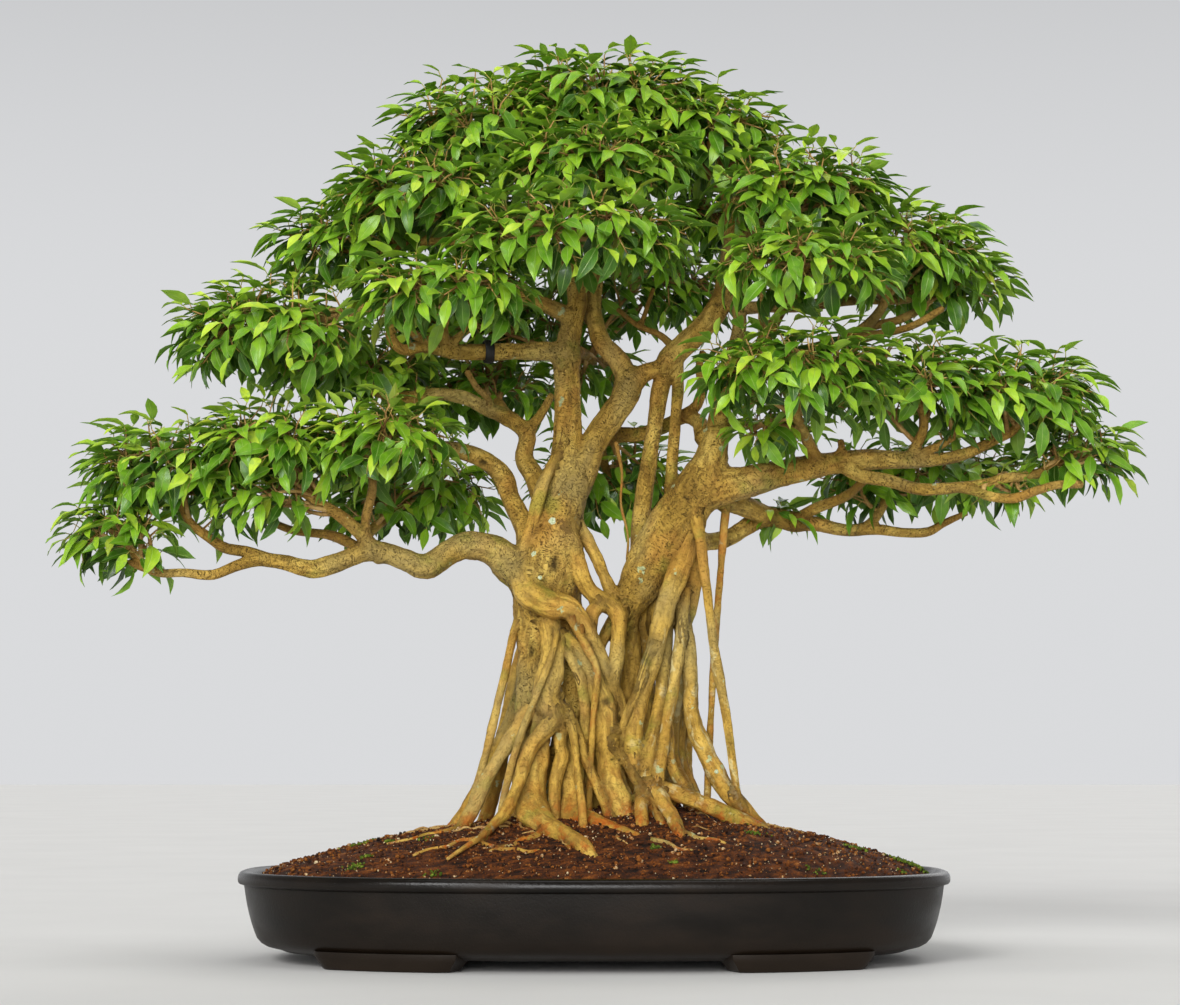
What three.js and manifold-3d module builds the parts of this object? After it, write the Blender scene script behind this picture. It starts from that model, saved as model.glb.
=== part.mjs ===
// A weeping fig bonsai in the banyan style: two trunks on a cage of fused aerial roots, with its
// foliage in rounded pads, in a mound of soil in a shallow oval pot.
// Millimetres. +Z is up, -Y is the front and +X is to the right as seen from the front.
import * as THREE from "three";
import { mergeVertices } from "three/addons/utils/BufferGeometryUtils.js";
import Module from "manifold-3d";

const { lerp, degToRad } = THREE.MathUtils;
const wasm = await Module();
wasm.setup();

// Driving dimensions of the pot.
const POT_LENGTH = 702;
const POT_WIDTH = 470;
const RIM_TOP = 88;
const OVAL_POWER = 2.5;
const POT_SEGMENTS = 28;
const FLOOR_TOP = 22;
const BODY_BOTTOM = 10;
const DRAIN_RADIUS = 15;
const DRAIN_SPACING = 340;

// The pot's wall as [inset from the outline, height], from the underside up, over the lip and down.
const POT_WALL = [
  [44, BODY_BOTTOM], [28, 13], [17, 28], [8, 55], [6, 75], [0, 77], [0, 85], [3, RIM_TOP],
  [13, RIM_TOP], [17, 78], [40, FLOOR_TOP],
];

// Each foot follows the outline between two angles, counted from the pot's long axis. At the floor
// it is drawn in all round, by a distance at its sides and an angle at its ends.
const FOOT_ANGLES = [40, 72];
const FOOT_INSETS = [20, 60];
const FOOT_TAPER = 5;
const FOOT_END_TAPER = 1.6;
const FOOT_TOP = 16;
const FOOT_STEPS = 4;

// The mesh screens over the drain holes.
const SCREEN_SIZE = 44;
const SCREEN_THICKNESS = 1.2;
const SCREEN_BARS = 3;
const BAR_WIDTH = 6;

// Soil: a mound from the wall up to the roots.
const SOIL_EDGE = 84;
const MOUND_HEIGHT = 56;
const SOIL_RINGS = [0.88, 0.66, 0.42, 0.2];
const SOIL_BUMP = 1.4;

// The dark band that is slipped over a branch on the left, at this share of the branch's length.
const BAND_SHARE = 0.36;
const BAND_WIDTH = 9;
const BAND_THICKNESS = 2.2;
const BAND_EDGE_THICKNESS = 1.6;
const BAND_SIDES = 18;

// Clearances between pieces that touch.
const SEAT_GAP = 0.4;
const WALL_GAP = 0.6;
const WOOD_GAP = 0.5;

// The wood and foliage below are set out as the eye sees them from the front, at the trunk's plane.
// A point at another depth is drawn towards the eye's height and the centre line by its nearness.
const VIEW_DISTANCE = 3000;
const EYE_HEIGHT = 206;

// Limb faceting: rings this far apart, and this many sides by the limb's greatest radius.
const RING_SPACING = 50;
const THICK = { radius: 20, sides: 7 };
const MEDIUM = { radius: 12, sides: 5 };
const THIN_SIDES = 4;

// Leaves are drawn larger than life, so that fewer of them still cover the crown.
const LEAF_LENGTH = 80;
const LEAF_WIDTH = 35;
const LEAF_SPREAD = 0.15;
const LEAF_THICKNESS = 1.8;
const LEAF_GAP = 1.2;

// A blade's shape, as shares of its length and width, with the rise of its arch along its length.
const WIDEST_AT = 0.33;
const NARROW_AT = 0.74;
const NARROW_WIDTH = 0.54;
const RIB_MIDDLE = 0.45;
const LEAF_FOLD = 5;
const ARCH_RISE = 0.12;
const ARCH_DROP = 0.34;

// How a pad's leaves are set: degrees of pitch and turn, from those at its edge to those on top.
const LEAVES_PER_PAD = 8;
const GOLDEN_ANGLE = 2.39996;
const EDGE_RISE = -14;
const TOP_RISE = 75;
const EDGE_PITCH = -42;
const TOP_PITCH = 30;
const PITCH_SPREAD = 12;
const TURN_SPREAD = 23;
const ROLL_SPREAD = 26;
const LEAF_SINK = 8;
const LEAF_TRIES = 8;
const RETRY_TURN = 29;

// A pad's core: a low uneven dome, as a profile of [radius, height] in shares of the pad's size.
const CORE_SHARE = 0.74;
const CORE_SEGMENTS = 8;
const CORE_PROFILE = [[0, -0.25], [1, -0.5], [0.82, 0.45], [0, 0.95]];
const CORE_WOBBLE = 0.1;
const CORE_GAP = 4;
const LIMB_END_RADIUS = 3;
const LEAF_SEED = 500;
const SOIL_SEED = 11;

// The wood: each limb is a list of [x, y, z, radius] along its middle, thick end first.
const TRUNKS = {
  left_trunk: [
    [-52, 10, 70, 30], [-56, 10, 110, 28], [-62, 12, 160, 22], [-63, 10, 230, 16], [-62, 8, 300, 18],
    [-54, 2, 350, 30], [-46, 0, 390, 33], [-38, 0, 425, 28], [-31, 0, 455, 21], [-28, 0, 485, 17],
    [-27, 0, 520, 14], [-27, -2, 565, 12.5], [-28, -2, 600, 14], [-23, -4, 628, 11], [-17, -4, 652, 10],
    [-17, -2, 668, 9.5], [-24, 4, 690, 8.5], [-20, 8, 730, 8], [-8, 5, 780, 7], [2, 0, 828, 6],
  ],
  middle_column: [
    [-28, 24, 80, 24], [-26, 24, 150, 20], [-24, 22, 220, 18], [-26, 20, 290, 20], [-38, 8, 400, 20],
  ],
  right_trunk: [
    [24, 4, 318, 10], [34, 0, 350, 17], [46, 0, 372, 22], [60, 0, 398, 24], [75, 0, 425, 25],
    [92, 0, 450, 25], [108, -2, 474, 22], [118, -3, 498, 17], [123, -5, 520, 13], [127, -8, 545, 10.5],
    [133, -10, 575, 9], [141, -10, 605, 8], [147, -9, 633, 7], [146, -6, 655, 6.5], [152, -5, 700, 6],
  ],
  forked_limb: [
    [-32, 0, 438, 14], [-20, -2, 466, 14], [-9, -2, 486, 13.5], [-1, -2, 512, 12.5], [19, -4, 542, 13.5],
    [34, -4, 568, 14], [31, -2, 586, 11], [20, 0, 602, 9.5], [9, 4, 614, 9.5], [0, 10, 645, 9],
    [4, 30, 700, 8], [16, 70, 770, 6],
  ],
  grafted_stub: [[30, -4, 564, 11], [45, -4, 581, 10], [66, -2, 590, 8]],
  inner_limb: [
    [40, 50, 330, 12], [46, 48, 380, 10], [45, 36, 423, 9], [50, 28, 461, 8.5], [60, 18, 525, 8],
    [68, 8, 573, 9], [76, 4, 598, 12], [92, 2, 614, 12], [116, 0, 637, 11.5], [129, 0, 657, 11],
    [133, 2, 672, 10.5], [138, 0, 710, 9], [140, -2, 770, 7],
  ],
  inner_prop: [
    [78, 14, 455, 7], [78, 12, 486, 6], [82, 12, 537, 5.5], [84.6, 8, 573, 6], [82, 4, 602, 8],
  ],
};

const BRANCHES = {
  low_left: [
    [-56, -4, 380, 20], [-82, -8, 391, 16], [-100, -12, 408, 13.5], [-127, -16, 411, 13],
    [-145, -20, 402, 13], [-169, -24, 387, 13.5], [-190, -26, 396, 11], [-220, -28, 405, 9.5],
    [-259, -32, 393, 9.5], [-283, -34, 387, 9], [-310, -36, 393, 7.5], [-337, -38, 396, 6.5], [-358, -40, 390, 5.5],
    [-382, -42, 381, 5], [-412, -44, 383, 4.5], [-440, -44, 384, 4.2],
  ],
  low_left_rise: [
    [-325, -37, 395, 6.5], [-349, -36, 404, 5.8], [-370, -32, 408, 5.5], [-388, -28, 420, 5],
    [-406, -26, 434, 4.5],
  ],
  low_left_fork: [
    [-215, -28, 400, 8], [-238, -34, 426, 7], [-256, -40, 441, 6], [-280, -46, 456, 5],
    [-300, -50, 472, 4.5],
  ],
  low_left_twig: [[-226, -28, 404, 6], [-229, -34, 435, 5], [-223, -42, 462, 4.5], [-222, -50, 478, 4]],
  low_left_rear: [[-226, -24, 404, 6.5], [-232, 0, 412, 6], [-225, 40, 424, 5.5], [-205, 80, 440, 4.5]],
  arched_left: [
    [-62, 2, 398, 15], [-70, 4, 428, 10.5], [-85, 6, 461, 9.5], [-90, 8, 478, 10], [-100, 6, 490, 9.5],
    [-112, 2, 498, 9], [-142, -10, 507, 8], [-166, -22, 508, 7], [-190, -40, 502, 5.5],
  ],
  rear_left: [
    [-44, 10, 444, 14], [-60, 25, 481, 10], [-70, 32, 499, 9], [-67, 36, 522, 8.5], [-83, 40, 537, 8],
    [-108, 44, 548, 7.5], [-128, 46, 558, 7], [-154, 48, 563, 6.5], [-190, 50, 560, 6], [-225, 54, 568, 5],
  ],
  rear_left_fork: [[-88, 40, 538, 7], [-72, 60, 546, 6], [-75, 100, 552, 5.5], [-95, 140, 552, 4.5]],
  banded: [
    [-26, -2, 598, 12], [-43, -6, 606, 9.5], [-73, -12, 606, 8.5], [-107, -18, 606, 8.5], [-139, -26, 606, 8],
    [-159, -34, 610, 7.5], [-171, -38, 612, 6.5], [-194, -42, 608, 5], [-206, -46, 626, 4.8],
    [-194, -48, 631, 4.5], [-176, -50, 620, 4.2],
  ],
  banded_rise: [[-148, -28, 608, 6], [-152, -48, 628, 5], [-150, -80, 640, 4.5], [-148, -110, 648, 4]],
  left_reach: [
    [-22, -3, 640, 9], [-60, -20, 658, 7], [-120, -35, 668, 6.5], [-190, -42, 664, 6],
    [-250, -44, 645, 5], [-300, -42, 635, 4],
  ],
  upper_left: [
    [-22, 4, 688, 9], [-60, -10, 704, 7.5], [-110, -25, 718, 6.5], [-170, -28, 720, 5.5],
    [-240, -15, 708, 4],
  ],
  low_right: [
    [106, -2, 468, 20], [125, -5, 468, 18], [150, -8, 474, 16], [180, -10, 481, 14], [209, -12, 487, 12.5],
    [238, -14, 493, 11.5], [270, -16, 497, 10.5], [300, -18, 497, 9], [330, -20, 496, 7.5],
    [365, -26, 500, 6], [400, -34, 515, 5], [425, -38, 530, 4],
  ],
  low_right_under: [
    [250, -15, 492, 8], [264, -22, 482, 7], [294, -30, 476, 6.5], [326, -35, 467, 6], [355, -38, 468, 5.8],
    [390, -38, 472, 5.5], [414, -34, 478, 5], [443, -28, 482, 4.8],
  ],
  low_right_cut: [
    [366, -38, 469, 5.5], [382, -44, 465, 5], [399, -50, 459.5, 5], [423, -54, 458, 4.8],
    [443, -56, 465, 4.5], [464, -56, 471, 4.3], [490, -56, 472, 4],
  ],
  low_right_stub: [[226, -14, 492, 8], [216, -40, 512, 6], [208, -75, 530, 5.5], [203, -110, 546, 4.5]],
  low_right_twig: [[318, -20, 500, 6], [326, -28, 514, 5.2], [332, -40, 530, 4.5], [332, -50, 540, 4]],
  low_right_rear: [
    [96, 20, 420, 14], [112, 42, 414, 9], [135, 60, 418.5, 8], [159, 70, 433, 9], [176, 74, 439, 10.5],
    [203, 78, 433, 9], [223, 80, 432, 7], [247, 84, 426, 6], [288, 90, 426, 5.5], [311, 92, 423, 5],
    [335, 94, 424, 5], [364, 95, 439, 4],
  ],
  rear_link: [[118, 4, 462, 13], [145, 35, 452, 11], [172, 68, 440, 10]],
  upper_right: [
    [131, 0, 660, 9], [150, 10, 651, 6.5], [174, 18, 652, 6.2], [208, 26, 652, 6], [262, 34, 658, 5],
    [320, 38, 660, 4],
  ],
  front_right: [
    [144, -10, 618, 7], [152, -26, 606, 6], [168, -50, 612, 6], [185, -85, 640, 5.2],
    [198, -120, 672, 4.5],
  ],
  right_reach: [
    [128, -8, 552, 9], [160, -5, 585, 7.5], [200, 0, 602, 6.8], [257, 2, 620, 6], [290, -2, 650, 5],
    [300, -8, 690, 4],
  ],
  shelf_limb: [[-20, 8, 735, 8], [-20, -30, 728, 6.5], [-22, -80, 714, 5.5], [-20, -130, 708, 4.5]],
  crown_left_limb: [[-14, 6, 758, 7], [-50, -8, 780, 6], [-90, -20, 800, 4.5]],
  crown_front_limb: [[-6, 4, 784, 7], [-4, -30, 786, 5.5], [-2, -75, 782, 4.5]],
  crown_right_limb: [[139, -2, 745, 7.5], [132, -4, 775, 6], [122, -5, 800, 5]],
  crown_back_limb: [[10, 52, 738, 7], [12, 80, 770, 6], [12, 100, 790, 5]],
  shelf_left_limb: [[-92, -20, 714, 7], [-120, -45, 730, 5.5], [-150, -62, 744, 4.5]],
  shelf_right_limb: [[138, 0, 716, 8], [155, -30, 728, 6], [178, -62, 744, 4.5]],
  back_left_limb: [[2, 26, 690, 8], [-40, 60, 706, 6.5], [-90, 95, 720, 5.5], [-120, 112, 730, 4.5]],
  back_right_limb: [[138, 0, 700, 8], [142, 45, 708, 6.5], [150, 85, 722, 5.5], [156, 105, 730, 4.5]],
  back_low_limb: [
    [112, 6, 520, 11], [105, 25, 535, 7.5], [91, 45, 540, 7], [50, 60, 520, 6.5], [25, 100, 500, 5.5],
    [20, 140, 490, 4.5],
  ],
};

const ROOTS = {
  arm: [
    [-78, -14, 392, 9], [-69, -26, 366, 14], [-49, -34, 352, 14], [-26, -34, 347, 11],
    [-15, -32, 336, 9.5], [-3.5, -30, 318, 8.5], [5.7, -28, 298, 7.5], [13.7, -26, 278, 7.5],
    [24, -24, 255, 7],
  ],
  centre_front: [
    [-30, -22, 318, 9], [-14, -28, 301, 9], [3, -32, 268, 9.5], [12, -32, 240, 11], [15, -32, 203, 11.5],
    [20, -36, 167, 14], [27, -42, 146, 15.5], [32, -48, 110, 14],
  ],
  red_strand: [
    [-24, -38, 338, 5], [-3.5, -40, 301, 4.8], [3, -42, 286, 4.2], [-1, -44, 237, 3.6],
    [-3, -40, 191, 3.4], [-5, -32, 140, 3.4], [-6, -30, 112, 3.4],
  ],
  wandering: [
    [-48, -18, 346, 11], [-40, -26, 307, 12], [-44, -30, 278, 13], [-47, -34, 256, 13],
    [-38, -36, 240, 11], [-33, -36, 226, 7.5], [-34, -36, 213, 6.5], [-31, -36, 203, 7],
    [-38, -38, 178, 6.5], [-40, -42, 145, 6.5], [-40, -44, 112, 6.5],
  ],
  left_buttress: [
    [-44, -28, 250, 10], [-56, -36, 203, 13.5], [-63, -44, 167, 15], [-61, -60, 145, 16],
    [-46.5, -95, 130, 13], [-27, -125, 119, 11], [-5, -158, 105, 8], [8, -178, 93, 5],
  ],
  left_leg: [
    [-34, -34, 246, 8], [-49, -46, 225, 9], [-60, -52, 213, 8.5], [-68, -58, 197, 7],
    [-76, -66, 170, 6.5], [-89, -82, 144, 6.5], [-101, -100, 131, 5], [-124, -145, 111, 3.6],
    [-142, -170, 96, 3],
  ],
  slim_left: [
    [-41, -36, 306, 5.2], [-57, -46, 262, 4.8], [-72, -50, 224, 5.5], [-79, -48, 201, 5.2],
    [-89, -44, 161, 4.4], [-94, -38, 120, 4.2],
  ],
  left_prop: [
    [-62, -12, 246, 9], [-77, -20, 225, 8.5], [-97, -28, 194, 7.2], [-118, -40, 154, 7.2],
    [-133, -50, 127, 6.5], [-146, -58, 104, 5],
  ],
  left_aerial: [
    [-68, -2, 356, 5], [-76, -4, 338, 4], [-90, -8, 278, 4.2], [-109, -14, 197, 4.2], [-126, -20, 135, 4],
    [-131, -22, 108, 4],
  ],
  pale_column: [
    [-38, -28, 262, 8], [-30, -22, 240, 10], [-21, -22, 197, 11.5], [-22, -28, 165, 12.5],
    [-20, -42, 140, 12], [-3, -66, 136, 8.5], [9, -80, 131, 7.8], [27, -98, 125, 7], [44, -118, 117, 6],
    [60, -138, 103, 4.5],
  ],
  front_strand: [
    [-26, -34, 246, 5], [-20, -44, 215, 4.2], [-16, -58, 179, 4], [-12, -78, 148, 4.2],
    [-10, -90, 124, 4.2], [-9, -96, 104, 4],
  ],
  slant_strand: [
    [-26, -32, 244, 6], [-12.5, -36, 208, 5.5], [-3, -42, 184, 5], [7, -48, 162, 4.8],
    [15, -52, 140, 4.8], [22, -56, 112, 4.5],
  ],
  fork_leg: [
    [-28, -14, 442, 8], [-17, -20, 395, 9], [-11.5, -20, 378, 8.5], [-2, -18, 362, 8],
    [14, -18, 352, 8.5], [24, -20, 340, 9.5], [24, -22, 318, 8], [21, -26, 285, 7], [17, -26, 258, 6.5],
  ],
  rust_column: [
    [32, 10, 342, 13], [36, 14, 290, 11], [33, 12, 225, 11], [37, 8, 170, 12], [40, 4, 104, 13],
  ],
  shade_column: [[52, 24, 376, 14], [49, 30, 310, 12], [51, 32, 240, 11], [56, 34, 104, 13]],
  long_pale: [
    [100, -10, 432, 12], [90, -18, 400, 10.5], [80, -24, 374, 10.5], [72, -28, 350, 10.5],
    [64, -30, 318, 9.5], [57, -32, 288, 8], [48, -34, 262, 7.5], [41, -37, 232, 9], [40, -38, 208, 10.5],
    [46, -42, 182, 10],
  ],
  speckled: [
    [76, -8, 352, 8], [69, -16, 295, 7.5], [68, -22, 262, 7], [62, -30, 232, 7.5], [57, -36, 213, 8.5],
    [52, -42, 190, 10], [50, -48, 166, 11], [48, -52, 108, 10],
  ],
  straight_right: [
    [88, -20, 338, 6.5], [81, -32, 276, 6.2], [74, -38, 240, 5.4], [68, -44, 203, 5.8], [62, -50, 166, 8],
    [60, -52, 108, 8],
  ],
  claw_long: [
    [52, -46, 168, 9], [63, -60, 161, 9.5], [71, -78, 150, 7.5], [79, -94, 138, 6.8],
    [84, -110, 126, 6.4], [90, -126, 106, 5],
  ],
  claw_short: [[50, -46, 162, 8], [47, -62, 152, 7.5], [48, -84, 131, 7], [46, -98, 108, 5]],
  claw_middle: [[56, -50, 158, 7], [63, -68, 144, 6], [69, -84, 129, 5.2], [71, -92, 108, 4.6]],
  right_runner: [
    [58, -44, 170, 8], [79, -48, 164, 8.2], [115, -46, 150, 8.6], [151, -40, 133, 8.4],
    [172, -34, 124, 6.5], [190, -28, 106, 5],
  ],
  right_prop: [
    [82, -12, 362, 8], [92, -18, 318, 8.8], [96, -22, 276, 8.4], [97, -22, 252, 8], [100.5, -22, 230, 8],
    [112, -25, 201, 8.8], [127, -28, 173, 9.4], [143, -27, 154, 9], [161, -24, 136, 6.8],
    [186, -20, 112, 4.6],
  ],
  right_aerial: [
    [99, -18, 446, 8], [106, -28, 418, 6], [113, -32, 365, 4.6], [120, -36, 308, 4.6],
    [125, -38, 278, 5.2], [132, -38, 240, 4.4], [140, -34, 180, 4.2], [148, -28, 132, 4],
    [150, -26, 106, 4],
  ],
  thin_aerial: [
    [134, 14, 466, 4.5], [129, 12, 410, 3.7], [122, 8, 330, 3.6], [116, 4, 228, 3.6], [112, 4, 140, 3.6],
    [112, 4, 108, 3.6],
  ],
  rear_pair_a: [
    [92, 2, 316, 7], [83, 6, 258, 6], [79, 2, 196, 6.4], [93, 0, 167, 7.2], [107, 0, 134, 6.4],
    [114, 0, 106, 5.5],
  ],
};

// Roots round the back: [top x, top y, top height, foot x, foot y, radius], set out like those in front.
const BACK_ROOTS = [
  [-60, 12, 290, -140, 30, 6], [-52, 14, 350, -120, 70, 7], [-34, 26, 300, -84, 104, 8],
  [-24, 28, 310, -18, 132, 9], [50, 32, 310, 42, 122, 8], [52, 28, 370, 84, 96, 6],
  [66, 10, 390, 118, 84, 7.5], [92, 6, 400, 146, 48, 5],
];

// Foliage pads: the middle [x, y, height], [half length, half depth, half thickness], and the limb
// that runs on into the pad and carries it.
const PADS = {
  apex: { at: [4, 0, 856], size: [116, 104, 73], from: "left_trunk" },
  crown_left: { at: [-116, -28, 824], size: [87, 83, 62], from: "crown_left_limb" },
  crown_right: { at: [120, -8, 824], size: [87, 83, 60], from: "crown_right_limb" },
  crown_front: { at: [0, -112, 796], size: [104, 77, 52], from: "crown_front_limb" },
  crown_back: { at: [12, 116, 812], size: [120, 83, 60], from: "crown_back_limb" },
  shelf_front: { at: [-20, -176, 724], size: [123, 77, 52], from: "shelf_limb" },
  shelf_left: { at: [-168, -82, 760], size: [87, 77, 52], from: "shelf_left_limb" },
  shelf_left_outer: { at: [-266, -14, 722], size: [83, 81, 55], from: "upper_left" },
  shelf_right: { at: [192, -84, 762], size: [94, 77, 52], from: "shelf_right_limb" },
  shelf_right_outer: { at: [306, -14, 714], size: [96, 85, 55], from: "right_reach" },
  shelf_back_left: { at: [-140, 124, 746], size: [108, 83, 52], from: "back_left_limb" },
  shelf_back_right: { at: [166, 122, 746], size: [108, 83, 52], from: "back_right_limb" },
  left_front: { at: [-150, -160, 664], size: [96, 75, 47], from: "banded_rise" },
  left_outer: { at: [-326, -44, 642], size: [102, 85, 52], from: "left_reach" },
  left_inner: { at: [-238, 66, 590], size: [104, 83, 47], from: "rear_left" },
  right_front: { at: [206, -160, 694], size: [96, 75, 47], from: "front_right" },
  right_outer: { at: [356, 52, 664], size: [79, 79, 49], from: "upper_right" },
  back_left_low: { at: [-112, 168, 566], size: [96, 69, 47], from: "rear_left_fork" },
  back_centre_low: { at: [22, 164, 504], size: [81, 64, 44], from: "back_low_limb" },
  low_right_front: { at: [202, -146, 576], size: [102, 75, 52], from: "low_right_stub" },
  low_right_mid: { at: [322, -64, 564], size: [85, 75, 49], from: "low_right_twig" },
  low_right_outer: { at: [424, -46, 562], size: [85, 77, 57], from: "low_right" },
  low_right_tip: { at: [466, -12, 504], size: [48, 54, 42], from: "low_right_under" },
  low_right_back: { at: [334, 108, 462], size: [129, 71, 44], from: "low_right_rear" },
  low_left_inner: { at: [-210, -72, 512], size: [81, 75, 55], from: "arched_left" },
  low_left_mid: { at: [-322, -66, 508], size: [85, 77, 52], from: "low_left_fork" },
  low_left_outer: { at: [-402, -40, 478], size: [79, 75, 55], from: "low_left_rise" },
  low_left_tip: { at: [-450, -42, 420], size: [48, 54, 44], from: "low_left" },
  low_left_back: { at: [-196, 100, 470], size: [96, 75, 47], from: "low_left_rear" },
};

const COLOURS = {
  glaze: { color: 0x1d1a17, roughness: 0.35, metalness: 0 },
  soil: { color: 0x3a2315, roughness: 0.95, metalness: 0 },
  bark: { color: 0xa98a52, roughness: 0.8, metalness: 0 },
  leaf: { color: 0x4f8f2a, roughness: 0.4, metalness: 0 },
  band: { color: 0x141414, roughness: 0.6, metalness: 0 },
  screen: { color: 0x22251f, roughness: 0.6, metalness: 0 },
};

// A seeded random number from 0 to 1.
function seeded(seed) {
  let state = seed >>> 0;
  return () => {
    state = (state + 0x6d2b79f5) >>> 0;
    let t = state;
    t = Math.imul(t ^ (t >>> 15), t | 1);
    t ^= t + Math.imul(t ^ (t >>> 7), t | 61);
    return ((t ^ (t >>> 14)) >>> 0) / 4294967296;
  };
}

// A closed geometry as a solid that can be joined and cut.
function solidOf(geometry) {
  const plain = new THREE.BufferGeometry().setAttribute("position", geometry.getAttribute("position"));
  if (geometry.index) plain.setIndex(geometry.index);
  const merged = mergeVertices(plain, 1e-4);
  const triVerts = new Uint32Array(merged.index.array);
  const vertProperties = new Float32Array(merged.getAttribute("position").array);
  return new wasm.Manifold(new wasm.Mesh({ numProp: 3, vertProperties, triVerts }));
}

function geometryOf(solid) {
  const mesh = solid.getMesh();
  const geometry = new THREE.BufferGeometry();
  geometry.setAttribute("position", new THREE.BufferAttribute(new Float32Array(mesh.vertProperties), 3));
  geometry.setIndex(new THREE.BufferAttribute(new Uint32Array(mesh.triVerts), 1));
  geometry.computeVertexNormals();
  return geometry;
}

const unionOf = (solids) => wasm.Manifold.union(solids);

// The largest body of a solid: scraps that a cut leaves loose are dropped.
function largestBody(solid) {
  const bodies = solid.decompose();
  return bodies.reduce((best, body) => (body.volume() > best.volume() ? body : best));
}

function overlaps(one, other) {
  const [a, b] = [one.boundingBox(), other.boundingBox()];
  const apart = [0, 1, 2].some((axis) => a.max[axis] < b.min[axis] || b.max[axis] < a.min[axis]);
  return !apart && one.intersect(other).volume() > 1e-4;
}

// A point set out in the front view at depth y, moved to where it really is.
function placed([x, y, z, size = 0]) {
  const nearness = 1 + y / VIEW_DISTANCE;
  return [x * nearness, y, EYE_HEIGHT + (z - EYE_HEIGHT) * nearness, size * nearness];
}

// A curve through a limb's points, with its radius at a share of its length.
function limbCurve(points) {
  const real = points.map(placed);
  const middles = real.map(([x, y, z]) => new THREE.Vector3(x, y, z));
  const radii = real.map((point) => point[3]);
  const curve = new THREE.CatmullRomCurve3(middles, false, "centripetal");
  const radiusAt = (share) => {
    const along = curve.getUtoTmapping(share) * (radii.length - 1);
    const index = Math.min(radii.length - 2, Math.floor(along));
    return lerp(radii[index], radii[index + 1], along - index);
  };
  return { curve, radiusAt, length: curve.getLength(), thickest: Math.max(...radii) };
}

function sidesFor(radius) {
  if (radius > THICK.radius) return THICK.sides;
  return radius > MEDIUM.radius ? MEDIUM.sides : THIN_SIDES;
}

// A capped cylinder bent along the limb. "grow" makes the same limb a little larger all over.
function limbSolid(points, grow = 0) {
  const { curve, radiusAt, length, thickest } = limbCurve(points);
  const sides = sidesFor(thickest);
  const steps = Math.max(2, Math.round(length / RING_SPACING));
  const frames = curve.computeFrenetFrames(steps);
  const geometry = new THREE.CylinderGeometry(1, 1, 1, sides, steps);
  const position = geometry.getAttribute("position");
  for (let i = 0; i < position.count; i += 1) {
    const ring = Math.round((position.getY(i) + 0.5) * steps);
    const share = ring / steps;
    const radius = radiusAt(share) + grow;
    const end = { 0: -grow, [steps]: grow }[ring] ?? 0;
    const point = curve.getPointAt(share)
      .addScaledVector(frames.binormals[ring], position.getX(i) * radius)
      .addScaledVector(frames.normals[ring], position.getZ(i) * radius)
      .addScaledVector(frames.tangents[ring], end);
    position.setXYZ(i, point.x, point.y, point.z);
  }
  return solidOf(geometry);
}

// A point of the oval that lies inside the pot's outline by an inset.
function ovalPoint(inset, angle, height) {
  const bulge = (value) => Math.sign(value) * Math.abs(value) ** (2 / OVAL_POWER);
  const x = (POT_LENGTH / 2 - inset) * bulge(Math.cos(angle));
  const y = (POT_WIDTH / 2 - inset) * bulge(Math.sin(angle));
  return new THREE.Vector3(x, y, height);
}

function ovalLoop(inset, height) {
  const turn = (2 * Math.PI) / POT_SEGMENTS;
  return Array.from({ length: POT_SEGMENTS }, (_, i) => ovalPoint(inset, i * turn, height));
}

// A closed solid through loops of equal length, each counter-clockwise from above, first to last.
// Its two ends are closed by fans, whose middles may be raised.
function loftSolid(loops, firstMiddle, lastMiddle) {
  const count = loops[0].length;
  const positions = loops.flat().concat([firstMiddle, lastMiddle]).flatMap((p) => [p.x, p.y, p.z]);
  const index = [];
  const last = (loops.length - 1) * count;
  for (let i = 0; i < count; i += 1) {
    const next = (i + 1) % count;
    for (let row = 0; row < last; row += count) {
      index.push(row + i, row + next, row + count + next);
      index.push(row + i, row + count + next, row + count + i);
    }
    index.push(next, i, last + count, last + i, last + next, last + count + 1);
  }
  const geometry = new THREE.BufferGeometry();
  geometry.setAttribute("position", new THREE.Float32BufferAttribute(positions, 3));
  geometry.setIndex(index);
  return solidOf(geometry);
}

const onAxis = (height) => new THREE.Vector3(0, 0, height);

// One foot: a curved block under the wall, a little smaller at the floor.
function footSolid(signX, signY) {
  const loop = (height, taper) => {
    const [start, end] = FOOT_ANGLES.map(degToRad);
    const narrowing = degToRad(FOOT_END_TAPER) * taper;
    const edge = (inset) => Array.from({ length: FOOT_STEPS + 1 }, (_, i) => (
      ovalPoint(inset, lerp(start + narrowing, end - narrowing, i / FOOT_STEPS), height)
    ));
    const outer = edge(FOOT_INSETS[0] + FOOT_TAPER * taper);
    const inner = edge(FOOT_INSETS[1] - FOOT_TAPER * taper).reverse();
    const points = [...outer, ...inner].map((point) => point.multiply(new THREE.Vector3(signX, signY, 1)));
    return signX * signY > 0 ? points : points.reverse();
  };
  const loops = [loop(0, 1), loop(FOOT_TAPER, 0), loop(FOOT_TOP, 0)];
  return loftSolid(loops, middleOf(loops[0]), middleOf(loops[2]));
}

function middleOf(points) {
  return points.reduce((sum, point) => sum.add(point), new THREE.Vector3()).divideScalar(points.length);
}

// Moves a geometry over one of the two drain holes: -1 for the left one, 1 for the right one.
const overDrain = (geometry, side, height) => geometry.translate((side * DRAIN_SPACING) / 2, 0, height);

function drainHole(side) {
  const hole = new THREE.CylinderGeometry(DRAIN_RADIUS, DRAIN_RADIUS, 3 * FLOOR_TOP, 16).rotateX(Math.PI / 2);
  return solidOf(overDrain(hole, side, BODY_BOTTOM));
}

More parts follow.
